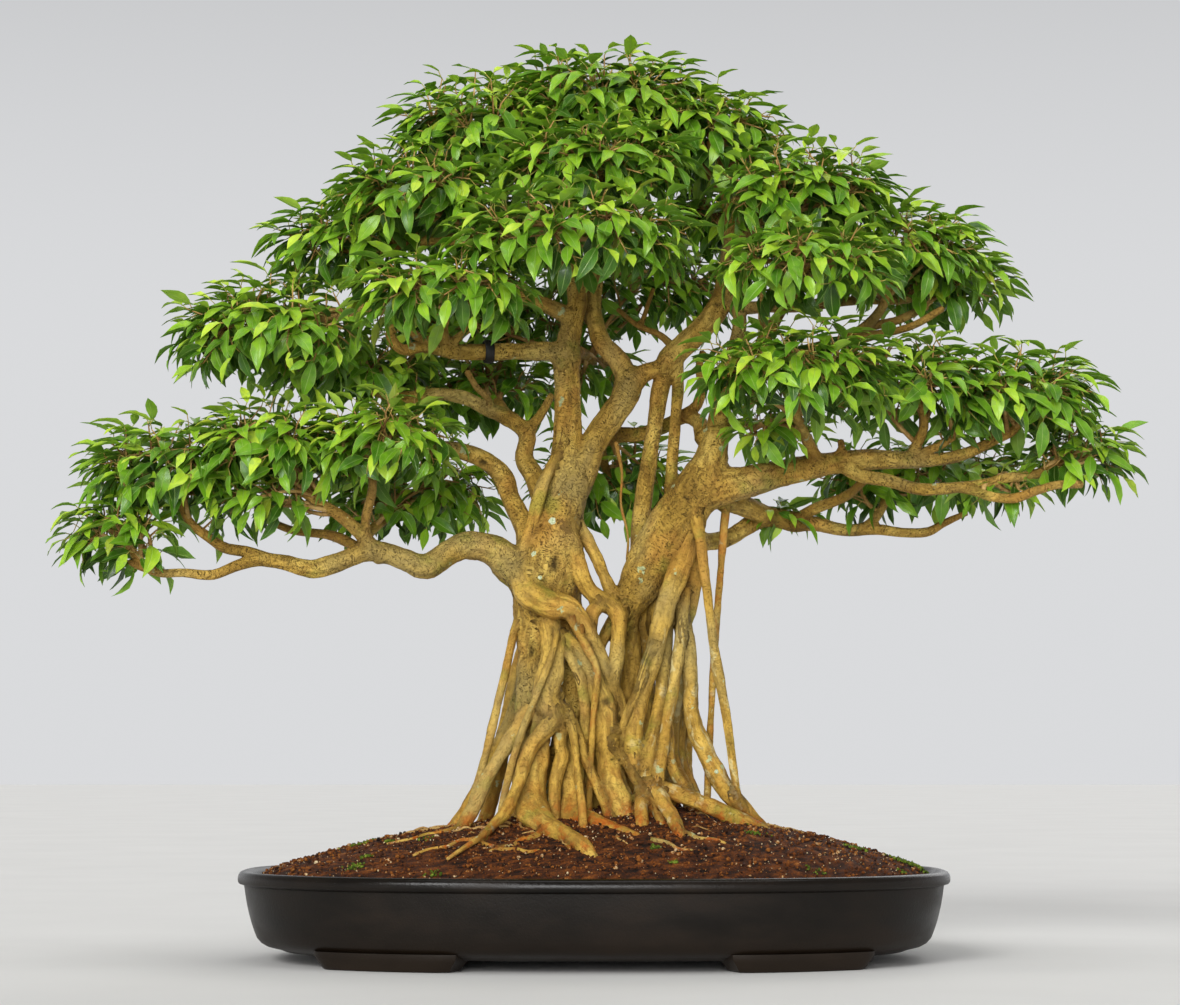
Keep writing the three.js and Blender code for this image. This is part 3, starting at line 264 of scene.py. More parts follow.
ROOTS = {
    "arm": [
        [-78, -14, 392, 9], [-69, -26, 366, 14], [-49, -34, 352, 14], [-26, -34, 347, 11],
        [-15, -32, 336, 9.5], [-3.5, -30, 318, 8.5], [5.7, -28, 298, 7.5], [13.7, -26, 278, 7.5],
        [24, -24, 255, 7], [27, -24, 238, 5.5], [27, -24, 218, 4],
    ],
    "centre_front": [
        [-30, -22, 318, 9], [-14, -28, 301, 9], [3, -32, 268, 9.5], [12, -32, 240, 12],
        [15, -32, 203, 13], [19, -36, 167, 15.2], [27, -42, 146, 16.5], [32, -48, 110, 15],
    ],
    "red_strand": [
        [-24, -38, 338, 4.6], [-3.5, -40, 301, 4.4], [3, -43, 286, 3.8], [-1, -46, 237, 3],
        [-3, -42, 191, 2.8], [-5, -34, 140, 2.8], [-6, -32, 112, 2.8],
    ],
    "wandering": [
        [-48, -18, 346, 11], [-40, -26, 307, 12], [-44, -30, 278, 13], [-47, -34, 256, 13],
        [-38, -36, 240, 11], [-33, -36, 226, 7.5], [-34, -36, 213, 6.5], [-31, -36, 203, 7],
        [-38, -38, 178, 6.5], [-40, -42, 145, 6.5], [-40, -44, 112, 6.5],
    ],
    "left_buttress": [
        [-50, -24, 242, 9], [-57, -34, 203, 13], [-63, -44, 167, 15], [-61, -60, 145, 16],
        [-46.5, -95, 130, 13], [-27, -125, 119, 11], [-8, -152, 107, 8.5], [2, -168, 95, 5.5],
    ],
    "left_leg": [
        [-34, -34, 246, 8], [-49, -46, 225, 9], [-60, -52, 213, 8.5], [-68, -58, 197, 7],
        [-76, -66, 170, 6.5], [-89, -82, 144, 6.2], [-101, -100, 131, 4.8], [-112, -124, 120, 3.6],
        [-128, -146, 110, 2.7], [-146, -168, 98, 1.8],
    ],
    "slim_left": [
        [-37, -28, 330, 3.4], [-40, -43, 308, 3.5], [-50, -48, 280, 3.4], [-58, -51, 259, 3.5],
        [-70, -54, 229, 3.8], [-80, -53, 198, 3.8], [-90, -47, 158, 3.6], [-95, -40, 116, 3.6],
    ],
    "left_prop": [
        [-62, -12, 246, 9], [-77, -20, 225, 8.5], [-97, -28, 194, 7.2], [-118, -40, 154, 7.2],
        [-133, -50, 127, 6.5], [-146, -58, 104, 5],
    ],
    "left_aerial": [
        [-68, -2, 356, 5], [-76, -4, 338, 4], [-90, -8, 278, 4.2], [-109, -14, 197, 4.2],
        [-126, -20, 135, 4], [-131, -22, 108, 4],
    ],
    "pale_column": [
        [-38, -28, 262, 8], [-30, -22, 240, 10], [-21, -22, 197, 11.5], [-22, -28, 165, 12.5],
        [-20, -42, 140, 12], [-3, -66, 136, 8.5], [9, -80, 131, 7.8], [27, -98, 125, 7],
        [44, -118, 117, 6], [60, -138, 103, 4.5],
    ],
    "front_strand": [
        [-26, -34, 246, 5], [-20, -44, 215, 4.2], [-16, -58, 179, 4], [-12, -78, 148, 4.2],
        [-10, -90, 124, 4.2], [-9, -96, 104, 4],
    ],
    "slant_strand": [
        [-26, -32, 244, 6], [-12.5, -36, 208, 5.5], [-3, -42, 184, 5], [7, -48, 162, 4.8],
        [15, -52, 140, 4.8], [22, -56, 112, 4.5],
    ],
    "fork_leg": [
        [-28, -14, 442, 8], [-17, -20, 395, 9], [-11.5, -20, 378, 8.5], [-2, -18, 362, 8],
        [14, -18, 352, 8.5], [24, -20, 340, 9.5], [24, -22, 318, 8], [21, -26, 285, 7],
        [18, -27, 258, 6.5], [18, -29, 240, 6], [19, -31, 220, 5],
    ],
    "rust_column": [
        [32, 10, 342, 13], [36, 14, 290, 11], [33, 12, 225, 11], [37, 8, 170, 12], [40, 4, 104, 13],
    ],
    "shade_column": [[52, 24, 376, 14], [49, 30, 310, 12], [51, 32, 240, 11], [56, 34, 104, 13]],
    "long_pale": [
        [100, -10, 432, 12], [90, -18, 400, 10.5], [80, -24, 374, 10.5], [72, -28, 350, 10.5],
        [64, -30, 318, 9.5], [57, -32, 288, 8], [48, -34, 262, 7.5], [41, -37, 232, 9],
        [40, -38, 208, 10.5], [46, -42, 182, 10],
    ],
    "speckled": [
        [76, -8, 352, 8], [69, -16, 295, 7.5], [68, -22, 262, 7], [62, -30, 232, 7.5],
        [57, -36, 213, 8.5], [52, -42, 190, 10], [50, -48, 166, 11], [48, -52, 108, 10],
    ],
    "straight_right": [
        [92, -10, 366, 6], [89, -22, 338, 6.2], [81, -32, 276, 6.2], [74, -38, 240, 5.4],
        [68, -44, 203, 5.8], [62, -50, 166, 8], [60, -52, 108, 8],
    ],
    "claw_long": [
        [52, -46, 168, 9], [63, -60, 161, 9.5], [71, -78, 150, 7.5], [79, -94, 138, 6.8],
        [84, -110, 126, 6.4], [90, -126, 106, 5],
    ],
    "claw_short": [[50, -46, 162, 8], [47, -62, 152, 7.5], [48, -84, 131, 7], [46, -98, 108, 5]],
    "claw_middle": [[56, -50, 158, 7], [63, -68, 144, 6], [69, -84, 129, 5.2], [71, -92, 108, 4.6]],
    "right_runner": [
        [58, -44, 170, 8], [79, -48, 164, 8.2], [115, -46, 150, 8.6], [151, -40, 133, 8.4],
        [172, -34, 124, 6.5], [190, -28, 106, 5],
    ],
    "right_prop": [
        [82, -12, 362, 8], [92, -18, 318, 8.8], [96, -22, 276, 8.4], [97, -22, 252, 8],
        [100.5, -22, 230, 8], [112, -25, 201, 8.8], [127, -28, 173, 9.4], [143, -27, 154, 9],
        [161, -24, 136, 6.8], [186, -20, 112, 4.6],
    ],
    "right_aerial": [
        [99, -18, 446, 8], [106, -28, 418, 6], [113, -32, 365, 4.6], [120, -36, 308, 4.6],
        [125, -38, 278, 5.2], [132, -38, 240, 4.4], [140, -34, 180, 4.2], [148, -28, 132, 4],
        [150, -26, 106, 4],
    ],
    "thin_aerial": [
        [134, 14, 466, 4.5], [129, 12, 410, 3.7], [122, 8, 330, 3.6], [116, 4, 228, 3.6],
        [112, 4, 140, 3.6], [112, 4, 108, 3.6],
    ],
    "rear_pair_a": [
        [92, 2, 316, 7], [83, 6, 258, 6], [79, 2, 196, 6.4], [93, 0, 167, 7.2], [107, 0, 134, 6.4],
        [114, 0, 106, 5.5],
    ],
}

# Thinner roots among those, as points of the same kind.
FINE_ROOTS = {
    "rear_pair_b": [
        [92, 12, 300, 6], [87, 14, 228, 5], [87, 12, 200, 5], [102, 12, 160, 4.8], [115, 12, 128, 4.5],
        [120, 12, 106, 4.2],
    ],
    "arch_leg": [[10, -18, 353, 7], [0, -20, 345, 7.5], [-3.5, -24, 330, 7], [-2, -28, 308, 7]],
    "knot_link": [[16, -32, 216, 5], [25, -38, 203, 4.4], [34, -42, 191, 4.4], [48, -47, 166, 6]],
    "fork_slip": [
        [-16, -6, 434, 6.5], [2, -8, 399, 6], [9, -10, 382, 6.5], [18, -12, 364, 7.5], [30, -12, 342, 9],
    ],
    "pale_slip": [
        [60, -32, 315, 5], [50, -38, 288, 4.8], [44, -40, 266, 4.4], [30, -38, 236, 4.2],
        [27, -35, 212, 4.5], [34, -36, 196, 5],
    ],
    "right_shoulder": [[100, 4, 416, 10.5], [97, 0, 362, 8.5], [90, -4, 326, 7.5], [88, -8, 290, 6.5]],
    "trunk_root": [
        [-30, -2, 520, 4], [-41, -13, 494, 5.5], [-52, -19, 470, 6.5], [-61, -22, 435, 7],
        [-70, -20, 405, 7],
    ],
    "loop": [
        [-32, -18, 308, 5], [-23, -32, 298, 6], [-14, -34, 280, 6], [-10, -32, 258, 5.4],
        [-9, -26, 232, 5.2], [-9, -18, 200, 5], [-8, -14, 112, 5],
    ],
    "gap_strand": [
        [26, -2, 345, 7], [14, -2, 325, 5.5], [4, -4, 300, 5.5], [0, -4, 260, 6], [0, 0, 200, 6],
        [3, 4, 150, 6.5], [6, 6, 104, 7],
    ],
    "window_thread": [
        [22, 4, 514, 2.4], [28, 14, 484, 1.4], [27, 14, 452, 1.3], [34, 12, 420, 1.2], [33, 8, 396, 1.2],
    ],
    "short_slip": [[22, -36, 210, 4], [33.5, -42, 187.5, 3.6], [42, -46, 172, 4]],
    "speckled_slip": [
        [72, -26, 232, 6], [73.9, -32, 215, 6.4], [75, -38, 197, 6], [81, -42, 181.5, 6],
        [92, -46, 164, 6],
    ],
}

# Twigs at the ends and on the sides of the branches, as points of the same kind.
FINE_TWIGS = {
    "low_left_end": [[-440, -44, 384, 4.2], [-452, -44, 388, 3.8], [-466, -42, 394, 3]],
    "upper_right_a": [
        [132, 2, 660, 8], [150, -12, 651, 5.5], [174, -18, 652, 5.2], [208, -24, 652, 4.6],
        [240, -20, 660, 4],
    ],
    "upper_right_b": [[150, -20, 600, 6], [172, -30, 618, 5], [170, -34, 634, 4.4], [170, -42, 670, 3.5]],
    "upper_right_c": [
        [168, -30, 617, 5.2], [185, -38, 641, 5], [194, -44, 654, 4.6], [207, -50, 665, 4],
        [214, -58, 684, 3],
    ],
    "right_reach_b": [[250, 2, 616, 5.5], [275, 8, 630, 5], [308, 12, 638.5, 4.5], [336, 18, 652, 3.6]],
    "right_reach_c": [[236, 0, 610, 5], [280, -15, 622, 4.5], [320, -30, 632, 4], [352, -38, 650, 3.2]],
    "low_rear_b": [[206, 78, 439, 6], [223, 60, 448, 5.5], [253, 30, 460, 5], [272, 5, 476, 4.2]],
    "low_rear_tip": [
        [258, 85, 426, 5.6], [288, 90, 426, 5.4], [311, 92, 423, 5], [335, 94, 424, 4.6],
        [352, 96, 433, 3.8], [374, 98, 443, 3],
    ],
    "cut_stub_a": [[223, -14, 494, 6.4], [218, -20, 508, 5.4], [214, -26, 521, 5]],
    "cut_stub_b": [[248, -16, 496, 4.6], [249, -20, 508, 3.8], [248, -24, 516, 3.4]],
    "low_right_fork": [
        [323, -20, 494, 5.4], [334, -26, 505, 4.8], [346, -32, 510, 4.2], [362, -38, 520, 3.4],
    ],
    "rear_left_right": [[-63, 34, 529, 5.8], [-51.3, 38, 545.7, 4.5], [-42.5, 42, 562, 3.6]],
    "rear_left_up": [
        [-102, 43, 547, 4.5], [-107, 40, 559, 3.8], [-118, 36, 570, 3.4], [-128, 30, 586, 3],
    ],
    "banded_tip": [[-178, -50, 621, 4.4], [-168.6, -50, 617, 4], [-160, -56, 624, 3.2]],
    "banded_right": [[-150, -30, 609, 5], [-130, -38, 626, 3.8], [-118, -45, 634, 3]],
    "low_left_rise_b": [
        [-228, -24, 403, 6], [-262, 10, 420, 5], [-304, 30, 426, 4.4], [-336, 30, 440, 3.6],
    ],
    "arched_fork": [[-139, -8, 505, 6.6], [-164, 6, 512, 5.4], [-186, 24, 520, 4.2]],
    "window_twig": [
        [88, 46, 540, 6], [104, 38, 552, 5], [109, 34, 570, 4.6], [106, 30, 590, 4], [110, 28, 606, 3.2],
    ],
    "window_spray": [[84, 10, 606, 5], [68, 22, 622, 3.6], [45, 30, 632, 3], [24, 36, 649, 2.4]],
    "window_spray_tip": [[47, 30, 631, 3], [54, 34, 652, 2.4], [60, 36, 670, 2]],
    "window_back": [[-18, 6, 606, 7], [-10, 50, 604, 5], [0, 110, 596, 4]],
    "low_right_end": [[443, -28, 482, 4.8], [478, -18, 487, 4.2]],
}

# Thin roots that lie on the soil: places as x, y and radius.
SURFACE_ROOTS = {
    "creeping": [
        [-109, -108, 3.2], [-114, -122, 2.8], [-103, -135, 2.6], [-92, -146, 2.8], [-79, -146, 2.4],
        [-69, -153, 2.2], [-58, -150, 1.6],
    ],
    "rootlet_a": [
        [-57, -100, 4.2], [-64, -116, 3.4], [-77, -123, 2.8], [-83, -136, 2.6], [-98, -139, 2],
        [-105, -148, 1.4],
    ],
    "rootlet_b": [[-31, -112, 4], [-27, -127, 2.8], [-32, -138, 2.4], [-29, -148, 1.6]],
    "rootlet_c": [
        [-107, -98, 3.2], [-123, -110, 2.6], [-134, -109, 2.4], [-146, -124, 2.2], [-165, -127, 1.8],
        [-178, -138, 1.4],
    ],
    "rootlet_d": [[72, -106, 3.4], [85, -112, 2.6], [93, -124, 2.4], [108, -124, 1.8], [118, -132, 1.4]],
    "rootlet_e": [[-140, -48, 3.6], [-155, -62, 2.8], [-171, -62, 2.4], [-186, -76, 2], [-207, -78, 1.4]],
    "rootlet_f": [[48, -130, 3.2], [64, -138, 2.4], [73, -150, 1.8], [86, -152, 1.2]],
    "rootlet_g": [[-22, 138, 4], [-30, 150, 2.8], [-44, 158, 2.2], [-52, 170, 1.4]],
    "rootlet_h": [[78, 100, 3.6], [94, 112, 2.8], [102, 126, 2.2], [121, 132, 1.4]],
    "rootlet_i": [[-124, 74, 4], [-142, 82, 2.8], [-150, 94, 2.2], [-169, 98, 1.4]],
}

# Thin roots with a red skin.
RED_ROOTS = ["red_strand", "thin_aerial", "rootlet_a", "rootlet_b", "rootlet_f", "window_thread"]
# Roots in the middle of the bundle, painted darker with shade.
INNER_ROOTS = ["rust_column", "shade_column", "gap_strand", "rear_pair_a", "rear_pair_b"]
# Round lichens on the front of the bark: front-view x and z, and radius.
LICHENS = [[-42, 435, 4.2], [-60.5, 402, 3.5], [-54, 378, 2.5], [-32, 272.5, 2], [122, 184.5, 2.5]]
LICHEN_SIDES = 16
LICHEN_THICKNESS = 0.5
LICHEN_RINGS = [[0.45, 1.0], [0.8, 0.9], [1.0, -1.0]]

# Roots round the back: [top x, top y, top height, foot x, foot y, radius].
BACK_ROOTS = [
    [-64, 10, 356, -140, 30, 6], [-58, 18, 392, -120, 70, 7], [-44, 26, 378, -84, 104, 8],
    [-26, 26, 366, -18, 132, 9], [44, 28, 372, 42, 122, 8], [52, 28, 370, 84, 96, 6],
    [66, 10, 390, 100, 96, 7.5], [78, 2, 404, 106, 56, 5.5],
]
# A back root on its way: [share of the way out, share of the way down, share of its radius].
BACK_ROOT_STEPS = [
    [0, 0, 1.5], [0.1, 0.22, 1.1], [0.24, 0.42, 0.95], [0.4, 0.62, 1.2], [0.66, 0.82, 1.0],
    [0.94, 0.95, 1.0], [1.14, 1.0, 0.78], [1.34, 1.03, 0.52], [1.58, 1.09, 0.3],
]
BACK_ROOT_FOOT = 116
BACK_ROOT_SWAY = 7

# Foliage pads: the middle, the half length, half depth and half thickness, and the limb they grow on.
PADS = {
    "apex": [[10, 0, 856], [118, 104, 70], "left_trunk"],
    "crown_left": [[-120, -28, 829], [90, 83, 62], "crown_left_limb"],
    "crown_right": [[117, -8, 821], [86, 83, 58], "crown_right_limb"],
    "crown_front": [[0, -112, 796], [104, 77, 52], "crown_front_limb"],
    "crown_back": [[12, 116, 812], [120, 83, 60], "crown_back_limb"],
    "shelf_front": [[-20, -176, 724], [123, 77, 52], "shelf_limb"],
    "shelf_left": [[-178, -82, 766], [92, 77, 54], "shelf_left_limb"],
    "shelf_left_outer": [[-256, -14, 712], [78, 78, 48], "upper_left"],
    "shelf_right": [[212, -80, 768], [98, 77, 54], "shelf_right_limb"],
    "shelf_right_outer": [[300, -14, 709], [102, 85, 52], "right_reach"],
    "shelf_back_left": [[-140, 124, 746], [108, 83, 52], "back_left_limb"],
    "shelf_back_right": [[166, 122, 746], [108, 83, 52], "back_right_limb"],
    "left_front": [[-150, -160, 664], [96, 75, 47], "banded_rise"],
    "left_outer": [[-326, -44, 623], [105, 85, 63], "left_reach"],
    "left_inner": [[-238, 66, 590], [104, 83, 47], "rear_left"],
    "right_front": [[216, -160, 694], [96, 75, 47], "front_right"],
    "right_outer": [[354, 52, 676], [76, 79, 43], "upper_right"],
    "back_left_low": [[-112, 168, 566], [96, 69, 47], "rear_left_fork"],
    "back_centre_low": [[16, 160, 474], [90, 62, 66], "back_low_limb"],
    "low_right_front": [[202, -146, 584], [102, 75, 56], "low_right_stub"],
    "low_right_mid": [[322, -64, 571], [85, 75, 54], "low_right_twig"],
    "low_right_outer": [[426, -46, 560], [90, 77, 55], "low_right"],
    "low_right_tip": [[484, -12, 502], [62, 56, 42], "low_right_under"],
    "low_right_back": [[334, 108, 480], [129, 71, 40], "low_right_rear"],
    "low_left_inner": [[-210, -72, 512], [81, 75, 55], "arched_left"],
    "low_left_mid": [[-322, -66, 508], [85, 77, 52], "low_left_fork"],
    "low_left_outer": [[-425, -40, 486], [95, 75, 56], "low_left_rise"],
    "low_left_tip": [[-477, -42, 420], [66, 56, 46], "low_left"],
    "low_left_back": [[-184, 100, 458], [100, 75, 52], "low_left_rear"],
}
LIMB_END_RADIUS = 3

# Lower lobes of some pads: leaves that show between the trunks and hang below the limbs.
LOBES = {
    "crown_back": [[[44, 118, 664], [114, 56, 64]]],
    "back_left_low": [[[-120, 150, 640], [110, 60, 60]], [[2, 130, 584], [52, 50, 34]]],
    "low_right_front": [[[180, -52, 526], [52, 60, 32]]],
    "low_left_mid": [[[-330, -50, 456], [62, 56, 30]]],
    "low_right_back": [[[184, 78, 438], [30, 30, 20]]],
    "low_right_outer": [[[410, -20, 466], [46, 36, 20]]],
}

# The wood's pieces and the groups of limbs in each.
WOOD_PIECES = {
    "wood_trunks": ["trunks"], "wood_branches": ["branches", "fine_twigs"],
    "wood_roots": ["roots", "fine_roots", "back_roots"],
}

# Wood: steps along a limb, and sides round it.
WOOD_STEP = 3.8
SIDE_LENGTH = 3.1
FEWEST_SIDES = 7
MOST_SIDES = 58

# How limbs melt into each other: how widely, how far their points move, and how many at a time.
MELT_SHARE = 0.1
MELT_CURVE = 0.025
MELT_RANGE = [1.5, 13.0]
MELT_STEPS = 5
MELT_LIMIT = 9
MELT_TOLERANCE = 0.05
LONGEST_MOVE = 3.0
MELTING_LIMBS = 4
MELT_BATCH = 4000

# Relief on the wood: its lumps, ridges and grain, how far apart limbs lie in the bark's pattern, how
# rough roots and other wood are, and the painted shade of the inner roots and the rust of some roots.
LUMP_SIZE = 26
LUMP_HEIGHT = 0.05
FINE_LUMP_SIZE = 9
RIDGE_HEIGHT = 0.055
RIDGE_LENGTH = 75
RIDGE_TIGHTNESS = 1.9
LIMB_STRIDE = 137.0
ROOT_ROUGHNESS = [2.1, 0.1]
WOOD_ROUGHNESS = [1.1, 0.06]
GRAIN_HEIGHTS = [0.25, 1.2]
INNER_ROOT_PAINTED_SHADE = 0.3
RED_ROOT_RUST = 0.38

# Scars and hollows on the front: the limb, x, z, half width, half height, depth and darkness, which is
# partly the scars' own colour and partly painted shade in the hollows.
KNOTS = [
    ["left_trunk", -39.6, 392, 4.5, 10, 3.5, 1.0], ["centre_front", 11.4, 254, 6, 4.5, 1.2, 0.9],
    ["left_trunk", -62.7, 304, 3.2, 8, 2.0, 0.9], ["arm", -22, 336, 6, 5.5, 1.4, 0.7],
    ["right_trunk", 93, 458, 3.2, 3, 1.6, 1.0], ["right_trunk", 116, 655, 3, 3, 1.6, 1.0],
    ["inner_limb", 124, 655, 3.4, 3.2, 1.8, 1.0], ["arched_left", -112, 494, 5, 4, 2.0, 1.0],
    ["forked_limb", 26, 520, 4, 8, 1.6, 0.8], ["left_trunk", -24, 560, 3, 9, 0.9, 0.6],
    ["low_right", 170, 476, 5, 3, 0.9, 0.5], ["low_left", -180, 390, 4, 3, 0.9, 0.6],
]

# The band: its place along its branch, and its section as [along the branch, out from the bark].
BAND_PLACE = 0.36
BAND_PROFILE = [
    [-4.5, 0.2], [-4.5, 1.7], [-3.9, 2.0], [0, 2.3], [3.9, 2.0], [4.5, 1.7], [4.5, 0.2], [0, 0.1],
]
BAND_SIDES = 64
BAND_SHARP_ANGLE = 50

# Leaves: lengths, width as a share of length, outlines as shares of the length and of the half width
# there, stalks, and how they follow each other on a shoot. Those deep inside a pad are plainer.
LEAF_LENGTHS = [28, 42]
LEAF_WIDTH = 0.36
OUTER_LEAF = np.array([[0.1, 0.5], [0.3, 0.94], [0.52, 0.97], [0.74, 0.58], [0.91, 0.17]])
INNER_LEAF = np.array([[0.2, 0.8], [0.5, 1.0], [0.8, 0.45]])
RIB_THICKNESS = 0.55
PETIOLE_LENGTH = 8
PETIOLE_RADIUS = 0.55
LEAF_GAP = 6.2
LEAF_TURN = 2.4
TIP_LEAF_LENGTH = 0.72

# Shoots: how closely they stand on a pad, how far out they end as shares of its reach, and how many
# leaves they bear. The power is the one that goes with the usual estimate of an ellipsoid's area.
SHOOT_SPACING = 25.5
SHOOT_DENSITY = 1.25
FEWEST_SHOOTS = 8
SHOOT_LEAVES = [6, 10]
LEAF_REACH = np.array([18.0, 18.0, 7.0])
SECOND_BRANCHES = 7
SECOND_REACH = 0.62
AREA_POWER = 1.6
PAD_COVER = 1.6
TIP_ROOM = 18
INNER_SHARE = 0.42
OUTER_TIPS = [0.9, 1.06]
INNER_TIPS = [0.45, 0.75]
INNER_BELOW = 0.8

# Studio: where each light shines from, how many degrees wide it is and its power; how bright the
# surroundings are, and how many metres wide the floor is.
LIGHTS = [
    ("key", (-1.3, -2.8, 1.7), 22, 1.6),
    ("front", (-0.2, -3.0, 0.4), 25, 1.9),
    ("top", (0.2, -0.3, 2.9), 40, 0.75),
    ("rear", (0.9, 2.5, 1.7), 40, 0.5),
]
HORIZON_LIGHT = 0.72
OVERHEAD_LIGHT = 0.3
WORLD_COLOUR = (0.97, 0.98, 1.0, 1)
FLOOR_SIZE = 30

# The point on the floor under the pot's middle, in millimetres.
pot_low, pot_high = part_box("pot")
shift = np.array([(pot_low.x + pot_high.x) / 2, (pot_low.y + pot_high.y) / 2, 0]) / MM


def unit(v):
    """Vectors of length one."""
    return v / np.maximum(np.linalg.norm(v, axis=-1, keepdims=True), 1e-9)


def placed(points):
    """Front-view points as real middles and radii, in millimetres in the frame."""
    full = np.array([list(p) + [0] * (4 - len(p)) for p in points], float)
    nearness = 1 + full[:, 1] / VIEW_DISTANCE
    x = full[:, 0] * nearness
    z = EYE_HEIGHT + (full[:, 2] - EYE_HEIGHT) * nearness
    return np.stack([x, full[:, 1], z], 1) + shift, full[:, 3] * nearness


def smooth_curve(points, per_span=14):
    """A centripetal Catmull-Rom curve through points, with its position along the list of points."""
    ends = [2 * points[0] - points[1], *points, 2 * points[-1] - points[-2]]
    found = []
    at = []
    for i in range(len(points) - 1):
        p0, p1, p2, p3 = ends[i:i + 4]
        gaps = [max(np.linalg.norm(b - a) ** 0.5, 1e-3) for a, b in ((p0, p1), (p1, p2), (p2, p3))]
        m1 = ((p1 - p0) / gaps[0] - (p2 - p0) / (gaps[0] + gaps[1]) + (p2 - p1) / gaps[1]) * gaps[1]
        m2 = ((p2 - p1) / gaps[1] - (p3 - p1) / (gaps[1] + gaps[2]) + (p3 - p2) / gaps[2]) * gaps[1]
        t = np.arange(per_span)[:, None] / per_span
        found.append(
            (2 * t**3 - 3 * t**2 + 1) * p1 + (t**3 - 2 * t**2 + t) * m1
            + (3 * t**2 - 2 * t**3) * p2 + (t**3 - t**2) * m2
        )
        at.append(i + t[:, 0])
    found.append(points[-1][None])
    at.append(np.array([len(points) - 1.0]))
    return np.concatenate(found), np.concatenate(at)


def even_path(points, radii, step):
    """Even samples along a smooth curve through points: middles and radii."""
    curve, at = smooth_curve(points)
    arc = np.concatenate([[0], np.cumsum(np.linalg.norm(np.diff(curve, axis=0), axis=1))])
    count = max(3, math.ceil(arc[-1] / step) + 1)
    even = np.linspace(0, arc[-1], count)
    middles = np.stack([np.interp(even, arc, curve[:, i]) for i in range(3)], 1)
    return middles, np.interp(np.interp(even, arc, at), np.arange(len(radii)), radii)


def carried_frames(path):
    """Tangents and two cross directions along a path, without twist."""
    tangents = unit(np.gradient(path, axis=0))
    first = np.cross(tangents[0], [0.0, 1.0, 0.0])
    if np.linalg.norm(first) < 0.2:
        first = np.cross(tangents[0], [1.0, 0.0, 0.0])
    normals = [unit(first)]
    for tangent in tangents[1:]:
        normals.append(unit(normals[-1] - tangent * np.dot(normals[-1], tangent)))
    normals = np.array(normals)
    return tangents, normals, np.cross(tangents, normals)


def wrapped_quads(rows, sides):
    """Quads of a grid of rows whose sides close into rings, facing outwards along its rows."""
    i = np.arange(rows - 1)[:, None] * sides
    j = np.arange(sides)[None, :]
    k = (j + 1) % sides
    return np.stack([i + j, i + k, i + sides + k, i + sides + j], -1).reshape(-1, 4)


def end_fans(rows, sides):
    """Triangles that close a grid's first and last ring to the two points that follow its rows."""
    j = np.arange(sides)
    k = (j + 1) % sides
    top = (rows - 1) * sides
    first = np.full(sides, rows * sides)
    return np.concatenate([np.stack([k, j, first], 1), np.stack([top + j, top + k, first + 1], 1)])


class Shell:
    """Gathers the points, faces and values of one piece."""

    def __init__(self):
        self.points, self.quads, self.tris, self.values, self.count = [], [], [], {}, 0

    def add(self, points, quads=None, tris=None, **values):
        """Adds points, faces by their numbers among those points, and values for each point."""
        points = np.asarray(points, float).reshape(-1, 3)
        if quads is not None and len(quads):
            self.quads.append(np.asarray(quads) + self.count)
        if tris is not None and len(tris):
            self.tris.append(np.asarray(tris) + self.count)
        for name, value in values.items():
            flat = np.asarray(value, float)
            width = flat.shape[-1] if flat.ndim else 1
            self.values.setdefault(name, []).append(np.broadcast_to(flat, (len(points), width)))
        self.points.append(points)
        self.count += len(points)

    def add_rings(self, rings, ends, **values):
        """Adds rings of points as one skin, with a point that closes it at each end."""
        rows, sides = rings.shape[:2]
        points = np.concatenate([rings.reshape(-1, 3), np.array(ends, float)])
        self.add(points, wrapped_quads(rows, sides), end_fans(rows, sides), **values)

    def build(self, name, materials, replaces=(), uv=None, sharp=None, under=None):
        """Makes the mesh. The last three name the values that hold its uv, sharp rims and undersides."""
        points = np.concatenate(self.points) * MM
        quads = np.concatenate(self.quads) if self.quads else np.zeros((0, 4), int)
        tris = np.concatenate(self.tris) if self.tris else np.zeros((0, 3), int)
        corners = np.concatenate([quads.ravel(), tris.ravel()]).astype(np.int32)
        starts = np.concatenate([np.arange(len(quads)) * 4, quads.size + np.arange(len(tris)) * 3])
        mesh = bpy.data.meshes.new(name)
        mesh.vertices.add(len(points))
        mesh.vertices.foreach_set("co", points.astype(np.float32).ravel())
        mesh.loops.add(len(corners))
        mesh.loops.foreach_set("vertex_index", corners)
        mesh.polygons.add(len(starts))
        mesh.polygons.foreach_set("loop_start", starts.astype(np.int32))
        mesh.polygons.foreach_set("use_smooth", np.ones(len(starts), bool))
        mesh.update(calc_edges=True)
        for key, parts in self.values.items():
            data = np.concatenate(parts)
            if key == uv:
                layer = mesh.uv_layers.new(name=key)
                layer.data.foreach_set("uv", data[corners].astype(np.float32).ravel())
            elif key == sharp:
                ends = np.zeros(len(mesh.edges) * 2, np.int32)
                mesh.edges.foreach_get("vertices", ends)
                marked = (data[ends.reshape(-1, 2), 0] > 0.5).all(1)
                rim = mesh.attributes.new("sharp_edge", "BOOLEAN", "EDGE")
                rim.data.foreach_set("value", marked)
            elif key == under:
                face_of = np.repeat(np.arange(len(starts)), np.diff(np.append(starts, len(corners))))
                most = np.zeros(len(starts))
                np.maximum.at(most, face_of, data[corners, 0])
                mesh.polygons.foreach_set("material_index", (most > 0.5).astype(np.int32))
            else:
                full = np.concatenate([data, np.ones((len(data), 4 - data.shape[1]))], 1)
                layer = mesh.attributes.new(key, "FLOAT_COLOR", "POINT")
                layer.data.foreach_set("color", full.astype(np.float32).ravel())
        for material in materials:
            mesh.materials.append(material)
        piece = bpy.data.objects.new(name, mesh)
        bpy.context.scene.collection.objects.link(piece)
        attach(piece, "root")
        if replaces:
            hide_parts(*replaces)
        return piece


